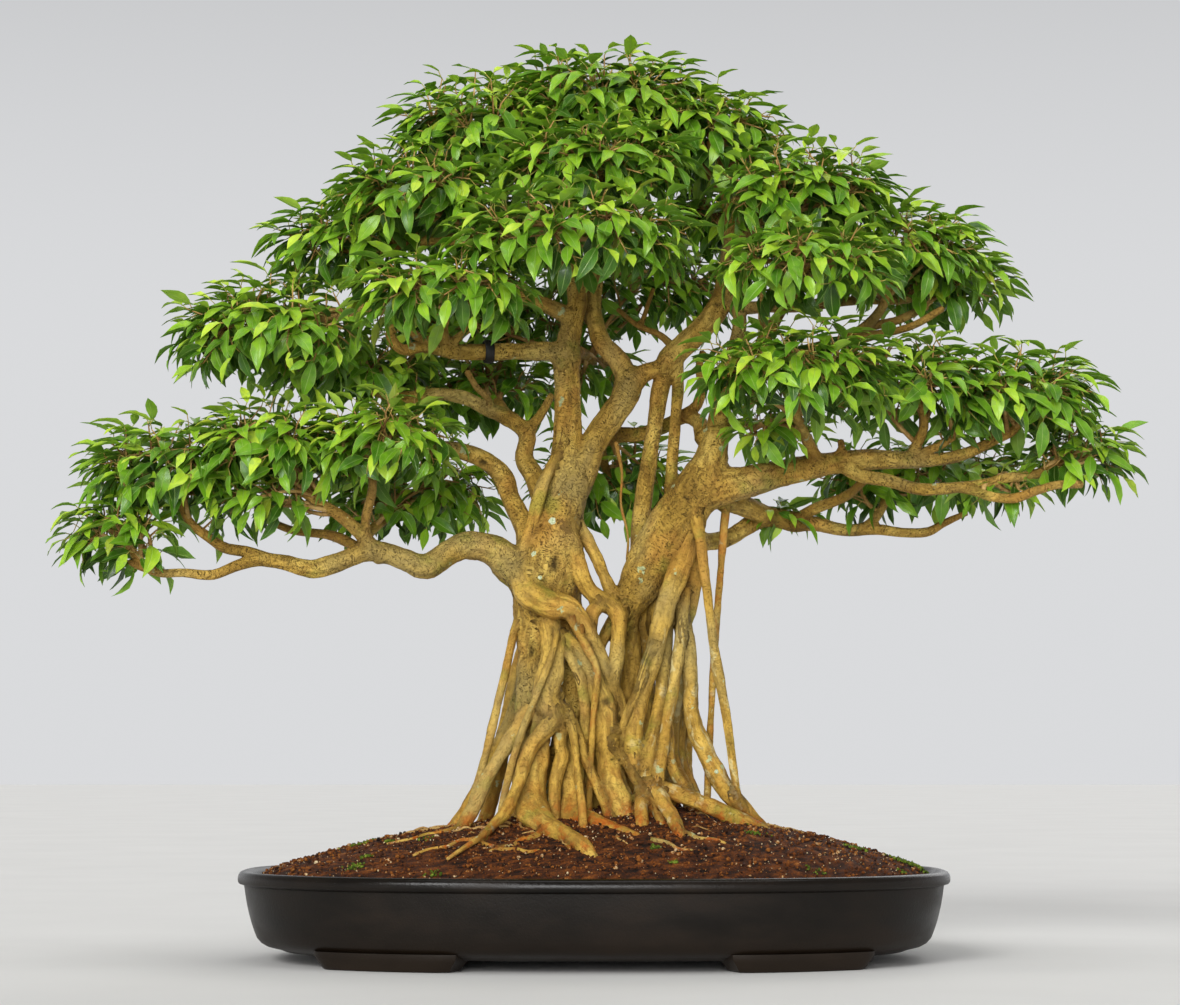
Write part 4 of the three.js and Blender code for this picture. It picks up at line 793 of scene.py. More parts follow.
def tube(path, radii, sides):
    """A closed tube: ring points as rows, outward directions, and its two end points."""
    tangents, normals, sideways = carried_frames(path)
    angle = np.linspace(0, 2 * math.pi, sides, endpoint=False)[None, :, None]
    out = normals[:, None] * np.cos(angle) + sideways[:, None] * np.sin(angle)
    rings = path[:, None] + out * radii[:, None, None]
    first = path[0] - tangents[0] * radii[0] * 0.5
    last = path[-1] + tangents[-1] * radii[-1] * 0.5
    return rings, out, [first, last]


def add_tube(shell, path, radii, sides):
    """Adds a closed tube to a piece."""
    rings, _, ends = tube(path, radii, sides)
    shell.add_rings(rings, ends)


# Materials.

def colour(value):
    """A colour written as 0xRRGGBB, as Blender's linear red, green, blue and alpha."""
    parts = [((value >> s) & 255) / 255 for s in (16, 8, 0)]
    return [p / 12.92 if p <= 0.04045 else ((p + 0.055) / 1.055) ** 2.4 for p in parts] + [1]


class Nodes:
    """A material's node tree, with short calls for the nodes used here."""

    def __init__(self, name):
        self.material = bpy.data.materials.new(name)
        self.material.use_nodes = True
        self.tree = self.material.node_tree
        self.shader = self.tree.nodes["Principled BSDF"]

    def node(self, kind, inputs=None, **settings):
        """A new node, with its settings and its inputs."""
        made = self.tree.nodes.new(kind)
        for key, value in settings.items():
            setattr(made, key, value)
        for key, value in (inputs or {}).items():
            self.join(value, made.inputs[key])
        return made

    def join(self, value, socket):
        """Links a socket to another, or sets its value."""
        if isinstance(value, bpy.types.NodeSocket):
            self.tree.links.new(value, socket)
        elif value is not None:
            socket.default_value = value

    def value(self, name, channel=None):
        """A value stored with the mesh's points, or one channel of it."""
        found = self.node("ShaderNodeAttribute", attribute_name=name).outputs
        return found["Vector"] if channel is None else self.channel(found["Color"], channel)

    def channel(self, shade, name):
        """One channel of a colour."""
        return self.node("ShaderNodeSeparateColor", {"Color": shade}).outputs[name]

    def noise(self, at, scale, detail=4, rough=0.55, distort=0):
        """Noise from 0 to 1."""
        return self.node("ShaderNodeTexNoise", {
            "Vector": at, "Scale": scale, "Detail": detail, "Roughness": rough, "Distortion": distort,
        }).outputs["Fac"]

    def shaken(self, at, scale, share):
        """Places moved a little by noise."""
        shake = self.node("ShaderNodeTexNoise", {"Vector": at, "Scale": scale}).outputs["Color"]
        return self.mix(share, at, shake, "ADD")

    def cells(self, at, scale):
        """Cells round scattered points."""
        return self.node("ShaderNodeTexVoronoi", {"Vector": at, "Scale": scale})

    def stretch(self, at, scale):
        """Places scaled along each axis."""
        return self.node("ShaderNodeMapping", {"Vector": at, "Scale": scale}).outputs["Vector"]

    def map(self, value, low, high, start=0.0, end=1.0):
        """A smooth step from one value to another."""
        return self.node("ShaderNodeMapRange", {
            "Value": value, "From Min": low, "From Max": high, "To Min": start, "To Max": end,
        }, interpolation_type="SMOOTHSTEP").outputs["Result"]

    def math(self, operation, a, b=0.0):
        return self.node("ShaderNodeMath", {0: a, 1: b}, operation=operation).outputs[0]

    def plus(self, a, b):
        return self.math("ADD", a, b)

    def minus(self, a, b):
        return self.math("SUBTRACT", a, b)

    def times(self, a, b):
        return self.math("MULTIPLY", a, b)

    def mix(self, share, a, b, blend="MIX"):
        made = self.node("ShaderNodeMix", data_type="RGBA", blend_type=blend)
        self.join(share, made.inputs["Factor"])
        self.join(a, made.inputs[6])
        self.join(b, made.inputs[7])
        return made.outputs[2]

    def tint(self, base, share, shade):
        """A base colour with a share of a shade, written as 0xRRGGBB, over it."""
        return self.mix(share, base, colour(shade))

    def ramp(self, value, stops):
        """A colour from stops of position and shade."""
        made = self.node("ShaderNodeValToRGB", {"Fac": value})
        elements = made.color_ramp.elements
        while len(elements) < len(stops):
            elements.new(0.5)
        for element, (position, shade) in zip(elements, stops):
            element.position = position
            element.color = colour(shade)
        return made.outputs["Color"]

    def bump(self, height, depth, strength=1.0, normal=None):
        """Relief of a depth in millimetres."""
        made = self.node("ShaderNodeBump", {"Height": height, "Distance": depth * MM, "Strength": strength})
        self.join(normal, made.inputs["Normal"])
        return made.outputs["Normal"]

    def object_at(self):
        """Places on the object, in metres."""
        return self.node("ShaderNodeTexCoord").outputs["Object"]

    def finish(self, base, rough, normal=None, specular=0.5):
        """Joins the shader up."""
        self.join(base, self.shader.inputs["Base Color"])
        self.join(rough, self.shader.inputs["Roughness"])
        self.join(normal, self.shader.inputs["Normal"])
        self.shader.inputs["Specular IOR Level"].default_value = specular
        return self.material


def bark_material():
    """Ochre bark: dark dots and cross cracks, olive and grey patches, pale flakes, rust by the soil, and
    painted shade where limbs crowd and meet, on the inner roots and in the knots' hollows.
    """
    n = Nodes("bark")
    at = n.value("limb_at")
    place = n.object_at()
    painted_shade_and_scars = n.value("bark_look", "Red")
    young = n.value("bark_look", "Green")
    rust = n.value("bark_look", "Blue")
    old = n.node("ShaderNodeAttribute", attribute_name="bark_look").outputs["Alpha"]
    rough_at = n.shaken(at, 60, 0.02)
    base = n.ramp(n.noise(place, 20, 4), [
        (0.26, 0x846829), (0.38, 0xa78536), (0.5, 0xc59f46), (0.62, 0xdab85c), (0.74, 0xb59d48),
    ])
    base = n.tint(base, n.map(old, 0.3, 1.0, 0.35, 0.0), 0xdcaf48)
    streak = n.noise(n.stretch(at, (1, 1, 0.25)), 190, 5)
    base = n.tint(base, n.map(streak, 0.42, 0.62, 0.0, 0.6), 0x7a5a22)
    base = n.tint(base, n.map(n.noise(place, 14, 3, 0.6), 0.5, 0.64, 0.0, 0.45), 0xb9843a)
    base = n.tint(base, n.map(n.noise(place, 8, 2), 0.5, 0.66, 0.0, 0.5), 0xb0a268)
    base = n.tint(base, n.map(n.noise(place, 26, 4), 0.54, 0.7, 0.0, 0.55), 0x878a32)
    crack = n.noise(n.stretch(rough_at, (1, 1, 2.4)), 300, 5, 0.65, 0.8)
    cracked = n.times(n.map(crack, 0.56, 0.64), n.map(old, 0.0, 1.0, 0.1, 1.0))
    base = n.tint(base, n.times(cracked, 0.5), 0x4c3411)
    dots = n.cells(n.stretch(rough_at, (1, 1, 1.3)), 380).outputs["Distance"]
    patch = n.map(n.noise(at, 75, 4, 0.6), 0.4, 0.56)
    spotted = n.times(n.map(dots, 0.14, 0.34, 1.0, 0.0), patch)
    spotted = n.times(spotted, n.map(old, 0.0, 1.0, 0.35, 1.0))
    base = n.tint(base, n.times(spotted, 0.75), 0x2c1c09)
    flake = n.noise(n.stretch(rough_at, (1, 1, 0.45)), 95, 3)
    where = n.node("ShaderNodeSeparateXYZ", {0: place}).outputs
    peeling = n.times(n.map(where["X"], 0.015, 0.05), n.map(where["Z"], 0.36, 0.28))
    base = n.tint(base, n.times(n.times(n.map(flake, 0.55, 0.68), peeling), 0.6), 0xdfd49c)
    lichen = n.cells(n.shaken(place, 200, 0.012), 62).outputs
    chosen = n.map(n.channel(lichen["Color"], "Red"), 0.86, 0.88)
    speckle = n.times(n.map(lichen["Distance"], 0.2, 0.25, 1.0, 0.0), chosen)
    base = n.tint(base, n.times(speckle, 0.8), 0xb9c795)
    base = n.mix(n.times(young, 0.75), base, n.ramp(streak, [(0.3, 0x7d5626), (0.7, 0xb5893f)]))
    rusty = n.times(rust, n.map(n.noise(place, 62, 5, 0.7), 0.46, 0.6, 0.05, 1.0))
    red = n.ramp(streak, [(0.3, 0x722f0a), (0.5, 0xb04f10), (0.7, 0xd68228)])
    base = n.mix(n.times(rusty, 0.9), base, red)
    # Painted shade in creases, between crowded limbs, on the inner roots and in the knots' hollows, with the
    # scars' own darkness.
    base = n.tint(base, n.times(painted_shade_and_scars, 0.85), 0x241605)
    fine = n.noise(rough_at, 700, 4)
    height = n.plus(n.times(cracked, -0.7), n.times(fine, 0.45))
    height = n.plus(n.minus(height, n.times(spotted, 0.5)), n.times(streak, 0.9))
    scaly = n.times(n.noise(rough_at, 260, 5, 0.65), n.map(old, 0.0, 1.0, 0.5, 1.6))
    normal = n.bump(n.plus(height, scaly), 2.0)
    return n.finish(base, n.map(fine, 0.3, 0.7, 0.5, 0.8), normal, 0.22)


def leaf_material(name, stops, rough, through, rib_height):
    """A leaf's side: colour by age and by painted light and shade, a pale rib, side veins, gloss, and light
    through the blade.
    """
    n = Nodes(name)
    tone = n.value("leaf_look", "Red")
    chance = n.value("leaf_look", "Green")
    uv = n.node("ShaderNodeUVMap", uv_map="leaf_uv").outputs["UV"]
    split = n.node("ShaderNodeSeparateXYZ", {0: uv}).outputs
    across = n.math("ABSOLUTE", n.minus(split["X"], 0.5))
    blotch = n.noise(n.object_at(), 90, 3)
    # The tone carries painted light and shade: lighter high on a pad, darker low on it and deep inside it.
    base = n.ramp(n.plus(tone, n.map(blotch, 0.3, 0.7, -0.08, 0.08)), stops)
    rib = n.map(across, 0.0, 0.05, 1.0, 0.0)
    slant = n.minus(split["Y"], n.times(across, 0.55))
    vein = n.map(n.math("SINE", n.times(slant, 88.0)), 0.55, 1.0)
    margin = n.map(across, 0.44, 0.49)
    yellowed = n.map(chance, 0.98, 0.99)
    base = n.tint(base, n.times(vein, 0.16), 0xa8cf62)
    base = n.tint(base, n.times(rib, 0.45), 0xbfdc7a)
    base = n.tint(base, n.times(margin, 0.4), 0xc4dc6c)
    base = n.tint(base, n.times(yellowed, 0.4), 0xb9ac38)
    height = n.plus(n.times(vein, -0.4), n.times(rib, rib_height))
    n.finish(base, rough, n.bump(height, 0.35, 0.8))
    glow = n.node("ShaderNodeBsdfTranslucent", {"Color": n.tint(base, 0.5, 0xb8dc3a)})
    both = n.node("ShaderNodeMixShader", {0: through, 1: n.shader.outputs[0], 2: glow.outputs[0]})
    n.join(both.outputs[0], n.tree.nodes["Material Output"].inputs["Surface"])
    return n.material


def petiole_material():
    """Yellow-green leaf stalks, browner in places."""
    n = Nodes("petiole")
    at = n.object_at()
    base = n.ramp(n.noise(at, 60, 2), [(0.35, 0x8f9a3e), (0.65, 0xb49a48)])
    return n.finish(base, 0.5, n.bump(n.noise(at, 900, 2), 0.2))


def twig_material():
    """The thin orange-brown shoots."""
    n = Nodes("twig")
    at = n.object_at()
    base = n.ramp(n.noise(at, 55, 4), [(0.3, 0x785628), (0.5, 0xa88346), (0.68, 0xcaa866)])
    rings = n.noise(at, 420, 3)
    base = n.mix(n.map(rings, 0.55, 0.7, 0.0, 0.5), base, colour(0x4a2c14))
    return n.finish(base, n.map(rings, 0.3, 0.7, 0.55, 0.75), n.bump(rings, 0.6), 0.4)


def lichen_material():
    """Pale grey-green lichen with a fine crust."""
    n = Nodes("lichen")
    at = n.object_at()
    crust = n.noise(at, 700, 4)
    base = n.ramp(crust, [(0.3, 0x7f8f62), (0.5, 0xb4bd96), (0.68, 0xd9dcc4)])
    return n.finish(base, 0.9, n.bump(crust, 0.8), 0.2)


def soil_material():
    """Baked red-brown grains with pale specks; each grain's shade comes with its points, and the mound's
    points carry painted light and shade on its grit.
    """
    n = Nodes("soil_grain")
    at = n.object_at()
    grain = n.noise(at, 480, 3)
    shade = n.plus(n.value("grain_look", "Red"), n.map(grain, 0.3, 0.7, -0.12, 0.12))
    base = n.ramp(shade, [
        (0.1, 0x180b04), (0.32, 0x40200c), (0.56, 0x733d12), (0.8, 0xa5682a), (0.97, 0xe6d3a6),
    ])
    coarse = n.bump(n.noise(at, 330, 4, 0.7), 2.5)
    fine = n.bump(n.noise(at, 1400, 3), 0.5, 1.0, coarse)
    return n.finish(base, n.map(grain, 0.3, 0.7, 0.75, 0.95), fine, 0.25)


def moss_material():
    """Moss tufts from dark to yellow-green."""
    n = Nodes("moss")
    at = n.object_at()
    base = n.ramp(n.noise(at, 260, 3), [(0.3, 0x26330c), (0.5, 0x4f6418), (0.7, 0x8b9a34)])
    return n.finish(base, 0.9, n.bump(n.noise(at, 1500, 3), 0.6), 0.2)


def glaze_material():
    """Near-black brown fired clay: a satin skin with fine pits, paler by the feet, smoother on the lip."""
    n = Nodes("glaze")
    at = n.object_at()
    broad = n.noise(n.stretch(at, (1, 1, 2.5)), 11, 4)
    base = n.ramp(broad, [(0.3, 0x0d0a07), (0.5, 0x15100b), (0.7, 0x1e160f)])
    height = n.node("ShaderNodeSeparateXYZ", {0: at}).outputs["Z"]
    base = n.tint(base, n.times(n.map(height, 0.0, 0.05, 1.0, 0.0), 0.35), 0x2c2014)
    pits = n.map(n.cells(at, 260).outputs["Distance"], 0.05, 0.14, 1.0, 0.0)
    base = n.tint(base, n.times(pits, 0.4), 0x0b0806)
    lip = n.map(height, 0.076, 0.084)
    rough = n.minus(n.map(broad, 0.3, 0.7, 0.36, 0.52), n.times(lip, 0.2))
    relief = n.minus(n.noise(at, 420, 4), n.times(pits, 0.6))
    return n.finish(base, rough, n.bump(relief, 0.35, 0.6), 0.2)


def moulded_material(name, grain_size, dark, light, rough):
    """Rubber or plastic with a faint grain: its two shades and its range of roughness."""
    n = Nodes(name)
    grain = n.noise(n.object_at(), grain_size, 3)
    base = n.ramp(grain, [(0.3, dark), (0.7, light)])
    return n.finish(base, n.map(grain, 0.3, 0.7, *rough), n.bump(grain, 0.3))


# The pot.

def oval(inset, angle, height):
    """Points of the oval that lies inside the pot's outline by an inset."""
    angle = np.asarray(angle, float)
    c, s = np.cos(angle), np.sin(angle)
    x = (POT_LENGTH / 2 - inset) * np.sign(c) * np.abs(c) ** (2 / OVAL_POWER)
    y = (POT_WIDTH / 2 - inset) * np.sign(s) * np.abs(s) ** (2 / OVAL_POWER)
    return np.stack([x, y, np.broadcast_to(height, x.shape)], -1) + shift


def even_angles(count):
    """Angles that space points evenly round the oval, the same number in each quarter."""
    fine = np.linspace(0, 2 * math.pi, 7201)
    loop = oval(0, fine, 0)
    arc = np.concatenate([[0], np.cumsum(np.linalg.norm(np.diff(loop, axis=0), axis=1))])
    return np.interp(np.linspace(0, arc[-1], count, endpoint=False), arc, fine)


def make_pot(material):
    """The pot's turned-up wall and floor as one skin, with its drain holes, and its four feet."""
    angles = even_angles(POT_SEGMENTS)
    body = Shell()
    rings = np.stack([oval(inset, angles, height) for inset, height in POT_WALL])
    body.add_rings(rings, [shift + [0, 0, BODY_BOTTOM], shift + [0, 0, FLOOR_TOP]])
    pot = body.build("pot_body", [material], ["pot"])
    cut_drains(pot)
    shell = Shell()
    for sign_x in (1, -1):
        for sign_y in (1, -1):
            add_foot(shell, sign_x, sign_y)
    feet = shell.build("pot_feet", [material], ["pot"])
    for piece in (pot, feet):
        piece.data.set_sharp_from_angle(angle=math.radians(POT_SHARP_ANGLE))


def add_foot(shell, sign_x, sign_y):
    """A curved block under the wall, smaller at the floor, with rounded upright edges."""
    start, end = np.radians(FOOT_ANGLES)
    share = np.linspace(-1, 1, FOOT_STEPS)
    rounding = (FOOT_ROUNDING * np.abs(share) ** FOOT_ROUNDING_POWER)[:, None]
    loops = []
    for height, taper in FOOT_LEVELS:
        narrowing = math.radians(FOOT_NARROWING) * taper
        angles = np.linspace(start + narrowing, end - narrowing, FOOT_STEPS)
        outer = oval(FOOT_INSETS[0] + taper, angles, height) - shift
        inner = oval(FOOT_INSETS[1] - taper, angles, height) - shift
        lean = unit(inner - outer)
        loop = np.concatenate([outer + lean * rounding, (inner - lean * rounding)[::-1]])
        loop *= [sign_x, sign_y, 1]
        loops.append((loop if sign_x * sign_y > 0 else loop[::-1]) + shift)
    rings = np.array(loops)
    shell.add_rings(rings, [rings[0].mean(0), rings[-1].mean(0)])


def cut_drains(pot):
    """Cuts the two drain holes through the pot's floor."""
    for side in (-1, 1):
        cutter = Shell()
        middle = shift + [side * DRAIN_SPACING / 2, 0, 0]
        path = middle + np.array([[0, 0, 0], [0, 0, 20.0], [0, 0, 40.0]])
        add_tube(cutter, path, np.full(3, float(DRAIN_RADIUS)), DRAIN_SIDES)
        tool = cutter.build("drain_cutter", [])
        modifier = pot.modifiers.new("drain", "BOOLEAN")
        modifier.operation = "DIFFERENCE"
        modifier.object = tool
        evaluated = pot.evaluated_get(bpy.context.evaluated_depsgraph_get())
        cut = bpy.data.meshes.new_from_object(evaluated)
        pot.modifiers.clear()
        pot.data = cut
        bpy.data.objects.remove(tool)


# The soil.

def mound_height(x, y):
    """The soil's height at a place, from its rim up to the roots."""
    across = np.abs(x - shift[0]) / (POT_LENGTH / 2 - SOIL_INSET)
    deep = np.abs(y - shift[1]) / (POT_WIDTH / 2 - SOIL_INSET)
    share = (across ** OVAL_POWER + deep ** OVAL_POWER) ** (1 / OVAL_POWER)
    edge = np.clip((1 - share) / RIM_SHARE, 0, 1)
    fuller = 2 + 0.6 * np.clip((x - shift[0]) / 180, 0, 1)
    rise = MOUND_HEIGHT * (1 - np.minimum(share, 1) ** fuller)
    far = np.hypot(x - ROOT_MIDDLE[0], y - ROOT_MIDDLE[1])
    rise = rise + ROOT_RISE * np.exp(-((far / ROOT_RISE_REACH) ** 2))
    return SOIL_RIM + (SOIL_EDGE - SOIL_RIM) * edge * (2 - edge) + rise


def grit(points, size, height):
    """Rough relief over points: noise of a size, of a height."""
    return np.array([noise.fractal(Vector(p / size), 0.9, 2.1, 3) for p in points]) * height


def make_soil(material):
    """The soil's mound with its rough top and its floor, which the grains lie on."""
    angles = even_angles(SOIL_SIDES)
    shares = 1 - np.linspace(0, 1, SOIL_RINGS, endpoint=False) ** 0.9
    edge = oval(SOIL_INSET, angles, 0) - shift
    top = (edge * shares[:, None, None] + shift).reshape(-1, 3)
    top[:, 2] = mound_height(top[:, 0], top[:, 1])
    lift = grit(top, 9, 1.6) + grit(top, 3.2, 0.9)
    lift[:SOIL_SIDES] *= 0.2
    top[:, 2] += lift
    floor = oval(SOIL_FLOOR_INSET, angles, SOIL_FLOOR)
    rings = np.concatenate([floor, top]).reshape(-1, SOIL_SIDES, 3)
    ends = [shift + [0, 0, SOIL_FLOOR], shift + [0, 0, mound_height(shift[0], shift[1])]]
    # The mound's tone: lighter where the grit rises and darker in its hollows, painted light and shade, and
    # random.
    tone = 0.36 + 0.16 * np.clip(np.concatenate([np.zeros(SOIL_SIDES), lift]), -2, 2)
    tone += np.random.default_rng(SEED).normal(0, 0.09, len(tone))
    look = np.concatenate([tone, [0.4, 0.4]])[:, None] * np.ones((1, 3))
    shell = Shell()
    shell.add_rings(rings, ends, grain_look=look)
    shell.build("soil_mound", [material], ["soil"])


def make_stray_roots(material):
    """Thin roots that creep over the soil round the tree's foot, half sunk in it."""
    rng = np.random.default_rng(SEED + 2)
    shell = Shell()
    for _ in range(STRAY_ROOTS):
        around = rng.random() * 2 * math.pi
        x, y = math.cos(around) * rng.uniform(80, 170), math.sin(around) * rng.uniform(60, 140)
        heading = around + rng.uniform(-0.8, 0.8)
        path = []
        for _ in range(rng.integers(6, 15)):
            path.append([x + shift[0], y + shift[1], 0])
            heading += rng.normal(0, 0.2)
            x += math.cos(heading) * 7
            y += math.sin(heading) * 5.5
        path = np.array(path)
        if (np.abs(path - shift).max(0)[:2] > STRAY_REACH).any():
            continue
        path[:, 2] = mound_height(path[:, 0], path[:, 1]) + 0.8 + rng.normal(0, 1.1, len(path))
        path[[0, -1], 2] -= 5
        middles, radii = even_path(path, np.linspace(rng.uniform(1.2, 2.6), 0.5, len(path)), 4)
        add_tube(shell, middles, radii, 5)
    shell.build("wood_stray_roots", [material], ["wood"])


def ball_template():
    """A twenty-sided ball's points and faces."""
    g = (1 + 5**0.5) / 2
    points = unit(np.array([
        [-1, g, 0], [1, g, 0], [-1, -g, 0], [1, -g, 0], [0, -1, g], [0, 1, g], [0, -1, -g], [0, 1, -g],
        [g, 0, -1], [g, 0, 1], [-g, 0, -1], [-g, 0, 1],
    ], dtype=float))
    faces = np.array([
        [0, 11, 5], [0, 5, 1], [0, 1, 7], [0, 7, 10], [0, 10, 11], [1, 5, 9], [5, 11, 4], [11, 10, 2],
        [10, 7, 6], [7, 1, 8], [3, 9, 4], [3, 4, 2], [3, 2, 6], [3, 6, 8], [3, 8, 9], [4, 9, 5], [2, 4, 11],
        [6, 2, 10], [8, 6, 7], [9, 8, 1],
    ])
    return points, faces


def chip_template():
    """An eight-sided chip's points and faces."""
    points = np.array([[1, 0, 0], [0, 1, 0], [-1, 0, 0], [0, -1, 0], [0, 0, 1], [0, 0, -1]], float)
    faces = [[i, (i + 1) % 4, 4] for i in range(4)] + [[(i + 1) % 4, i, 5] for i in range(4)]
    return points, np.array(faces)


def spread_on_mound(rng, count, reach=0.985):
    """Random places on the mound, evenly over its area."""
    share = np.sqrt(rng.random(count)) * reach
    angle = even_angles(2000)[rng.integers(0, 2000, count)]
    edge = oval(SOIL_INSET, angle, 0) - shift
    spots = edge * share[:, None] + shift
    spots[:, 2] = mound_height(spots[:, 0], spots[:, 1])
    return spots


def add_bits(shell, rng, template, spots, sizes, flat, tone=None):
    """Uneven, turned little bits at spots, each with its own tone where tones are given."""
    points, faces = template
    count, corners = len(spots), len(points)
    wobble = 1 + 0.3 * (rng.random((count, corners, 1)) * 2 - 1)
    stretch = 1 + 0.35 * (rng.random((count, 1, 3)) * 2 - 1)
    turn = rng.random(count) * 2 * math.pi
    lean = rng.normal(0, 0.5, count)
    bits = points[None] * wobble * stretch * sizes[:, None, None] * [1, 1, flat]
    for angle, i, j in ((lean, 0, 2), (turn, 0, 1)):
        c, s = np.cos(angle)[:, None], np.sin(angle)[:, None]
        bits[..., i], bits[..., j] = bits[..., i] * c - bits[..., j] * s, bits[..., i] * s + bits[..., j] * c
    bits += spots[:, None]
    tris = faces[None] + np.arange(count)[:, None, None] * corners
    values = {} if tone is None else {"grain_look": np.repeat(tone, corners)[:, None] * np.ones((1, 3))}
    shell.add(bits.reshape(-1, 3), None, tris.reshape(-1, 3), **values)


def scatter_grains(material):
    """Grains of baked clay over the mound, with pale specks of grit among them."""
    rng = np.random.default_rng(SEED)
    shell = Shell()
    for (count, small, large, pale_share), template in zip(GRAINS, (ball_template(), chip_template())):
        spots = spread_on_mound(rng, count)
        sizes = small + (large - small) * rng.random(count) ** 2
        tone = np.clip(rng.normal(0.5, 0.2, count), 0.05, 0.85)
        pale = rng.random(count) < pale_share
        tone[pale] = rng.uniform(0.88, 1.0, pale.sum())
        sizes[pale] *= PALE_GRAIN_SIZE
        spots[:, 2] += sizes * 0.35 + 0.5
        add_bits(shell, rng, template, spots, sizes, 0.85, tone)
    shell.build("soil_grains", [material], ["soil"])


def scatter_moss(material):
    """Small tufts of moss; the fullest lie by the rim on the right."""
    rng = np.random.default_rng(SEED + 1)
    shell = Shell()
    centres = np.concatenate([spread_on_mound(rng, MOSS_TUFTS), shift + FULL_TUFTS])
    for number, centre in enumerate(centres):
        full = number >= MOSS_TUFTS
        count = FULL_TUFT_BITS if full else rng.integers(*TUFT_BITS)
        spread = rng.normal(0, 1, (count, 3)) * [4.5, 3.5, 0] * (1.7 if full else rng.uniform(0.4, 1.3))
        spots = centre + spread
        spots[:, 2] = mound_height(spots[:, 0], spots[:, 1]) + 1.2 + 1.5 * full
        sizes = rng.uniform(0.6, 1.7, count)
        add_bits(shell, rng, chip_template(), spots, sizes, 1.2)
    shell.build("soil_moss", [material], ["soil"])


# The wood.

def back_root(root, number):
    """A root's path from a trunk down to the soil, swaying sideways on its way."""
    x, y, top, foot_x, foot_y, radius = root
    path = []
    for out, down, share in BACK_ROOT_STEPS:
        sway = BACK_ROOT_SWAY * math.sin(number * 1.7 + down * 5.5) * min(down * 4, 1)
        height = top + (BACK_ROOT_FOOT - top) * down
        path.append([x + (foot_x - x) * out + sway, y + (foot_y - y) * out, height, radius * share])
    return path


def gather_limbs():
    """Every limb by name: its group and its real middles and radii along an even path."""
    ends = {carrier: middle + [LIMB_END_RADIUS] for middle, _, carrier in PADS.values()}
    groups = {
        "trunks": TRUNKS, "branches": BRANCHES, "roots": ROOTS,
        "fine_roots": FINE_ROOTS, "fine_twigs": FINE_TWIGS,
        "back_roots": {f"back_{i}": back_root(root, i) for i, root in enumerate(BACK_ROOTS)},
    }
    limbs = {}
    for group, members in groups.items():
        for name, points in members.items():
            grown = [*points, ends[name]] if name in ends else points
            limbs[name] = (group, *even_path(*placed(grown), WOOD_STEP))
    for name, points in SURFACE_ROOTS.items():
        x, y, radii = np.array(points, float).T
        middles = np.stack([x, y, mound_height(x, y) + radii * 0.1], 1)
        limbs[name] = ("fine_roots", *even_path(middles, radii, WOOD_STEP))
    return limbs


class Melt:
    """The tree's wood as one smooth surface: the distance to it from any point."""

    def __init__(self, limbs):
        starts, ends, r0, r1, owner = [], [], [], [], []
        for i, (_, path, radii) in enumerate(limbs.values()):
            coarse = np.unique(np.append(np.arange(0, len(path), 2), len(path) - 1))
            starts.append(path[coarse[:-1]])
            ends.append(path[coarse[1:]])
            r0.append(radii[coarse[:-1]])
            r1.append(radii[coarse[1:]])
            owner.append(np.full(len(coarse) - 1, i))
        self.a, self.b = np.concatenate(starts), np.concatenate(ends)
        self.r0, self.r1 = np.concatenate(r0), np.concatenate(r1)
        self.owner = np.concatenate(owner)

    def near(self, points, margin=16):
        """The stretches of wood within a margin of points."""
        low, high = points.min(0) - margin, points.max(0) + margin
        reach = np.maximum(self.r0, self.r1)[:, None]
        inside = (np.minimum(self.a, self.b) - reach < high) & (np.maximum(self.a, self.b) + reach > low)
        return np.nonzero(inside.all(1))[0]

    def distance(self, points, chosen):
        """Distance to the melted surface, and how closely a second limb lies by."""
        a, b = self.a[chosen], self.b[chosen]
        along = b - a
        square = (along**2).sum(1)
        owners = self.owner[chosen]
        cuts = np.nonzero(np.diff(owners, prepend=-1))[0]
        per_limb = np.diff(np.append(cuts, len(owners)))
        result = np.zeros(len(points))
        second = np.full(len(points), 99.0)
        for start in range(0, len(points), MELT_BATCH):
            p = points[start:start + MELT_BATCH]
            away = p[:, None] - a[None]
            t = np.clip((away * along).sum(2) / square, 0, 1)
            gap = np.linalg.norm(away - along * t[:, :, None], axis=2)
            radius = self.r0[chosen] * (1 - t) + self.r1[chosen] * t
            gap -= radius
            by_limb = np.minimum.reduceat(gap, cuts, axis=1)
            thick = np.where(gap <= np.repeat(by_limb, per_limb, axis=1), radius, 0)
            limb_radius = np.maximum.reduceat(thick, cuts, axis=1)
            order = np.argsort(by_limb, axis=1)[:, :MELTING_LIMBS]
            values = np.take_along_axis(by_limb, order, 1)
            sizes = np.take_along_axis(limb_radius, order, 1)
            total, size = values[:, 0], sizes[:, 0]
            for i in range(1, values.shape[1]):
                thin = np.minimum(size, sizes[:, i])
                k = np.clip(MELT_SHARE * thin + MELT_CURVE * thin**2, *MELT_RANGE)
                h = np.maximum(k - np.abs(total - values[:, i]), 0) / k
                total = np.minimum(total, values[:, i]) - h * h * k / 4
            result[start:start + MELT_BATCH] = total
            if values.shape[1] > 1:
                second[start:start + MELT_BATCH] = values[:, 1]
        return result, second


def build_wood(limbs, material):
    """The tree's wood in three pieces, whose limbs are melted into each other."""
    melt = Melt(limbs)
    for piece, groups in WOOD_PIECES.items():
        shell = Shell()
        for number, (name, (group, path, radii)) in enumerate(limbs.items()):
            if group in groups:
                add_limb(shell, melt, number, name, group, path, radii)
        shell.build(piece, [material], ["wood"])


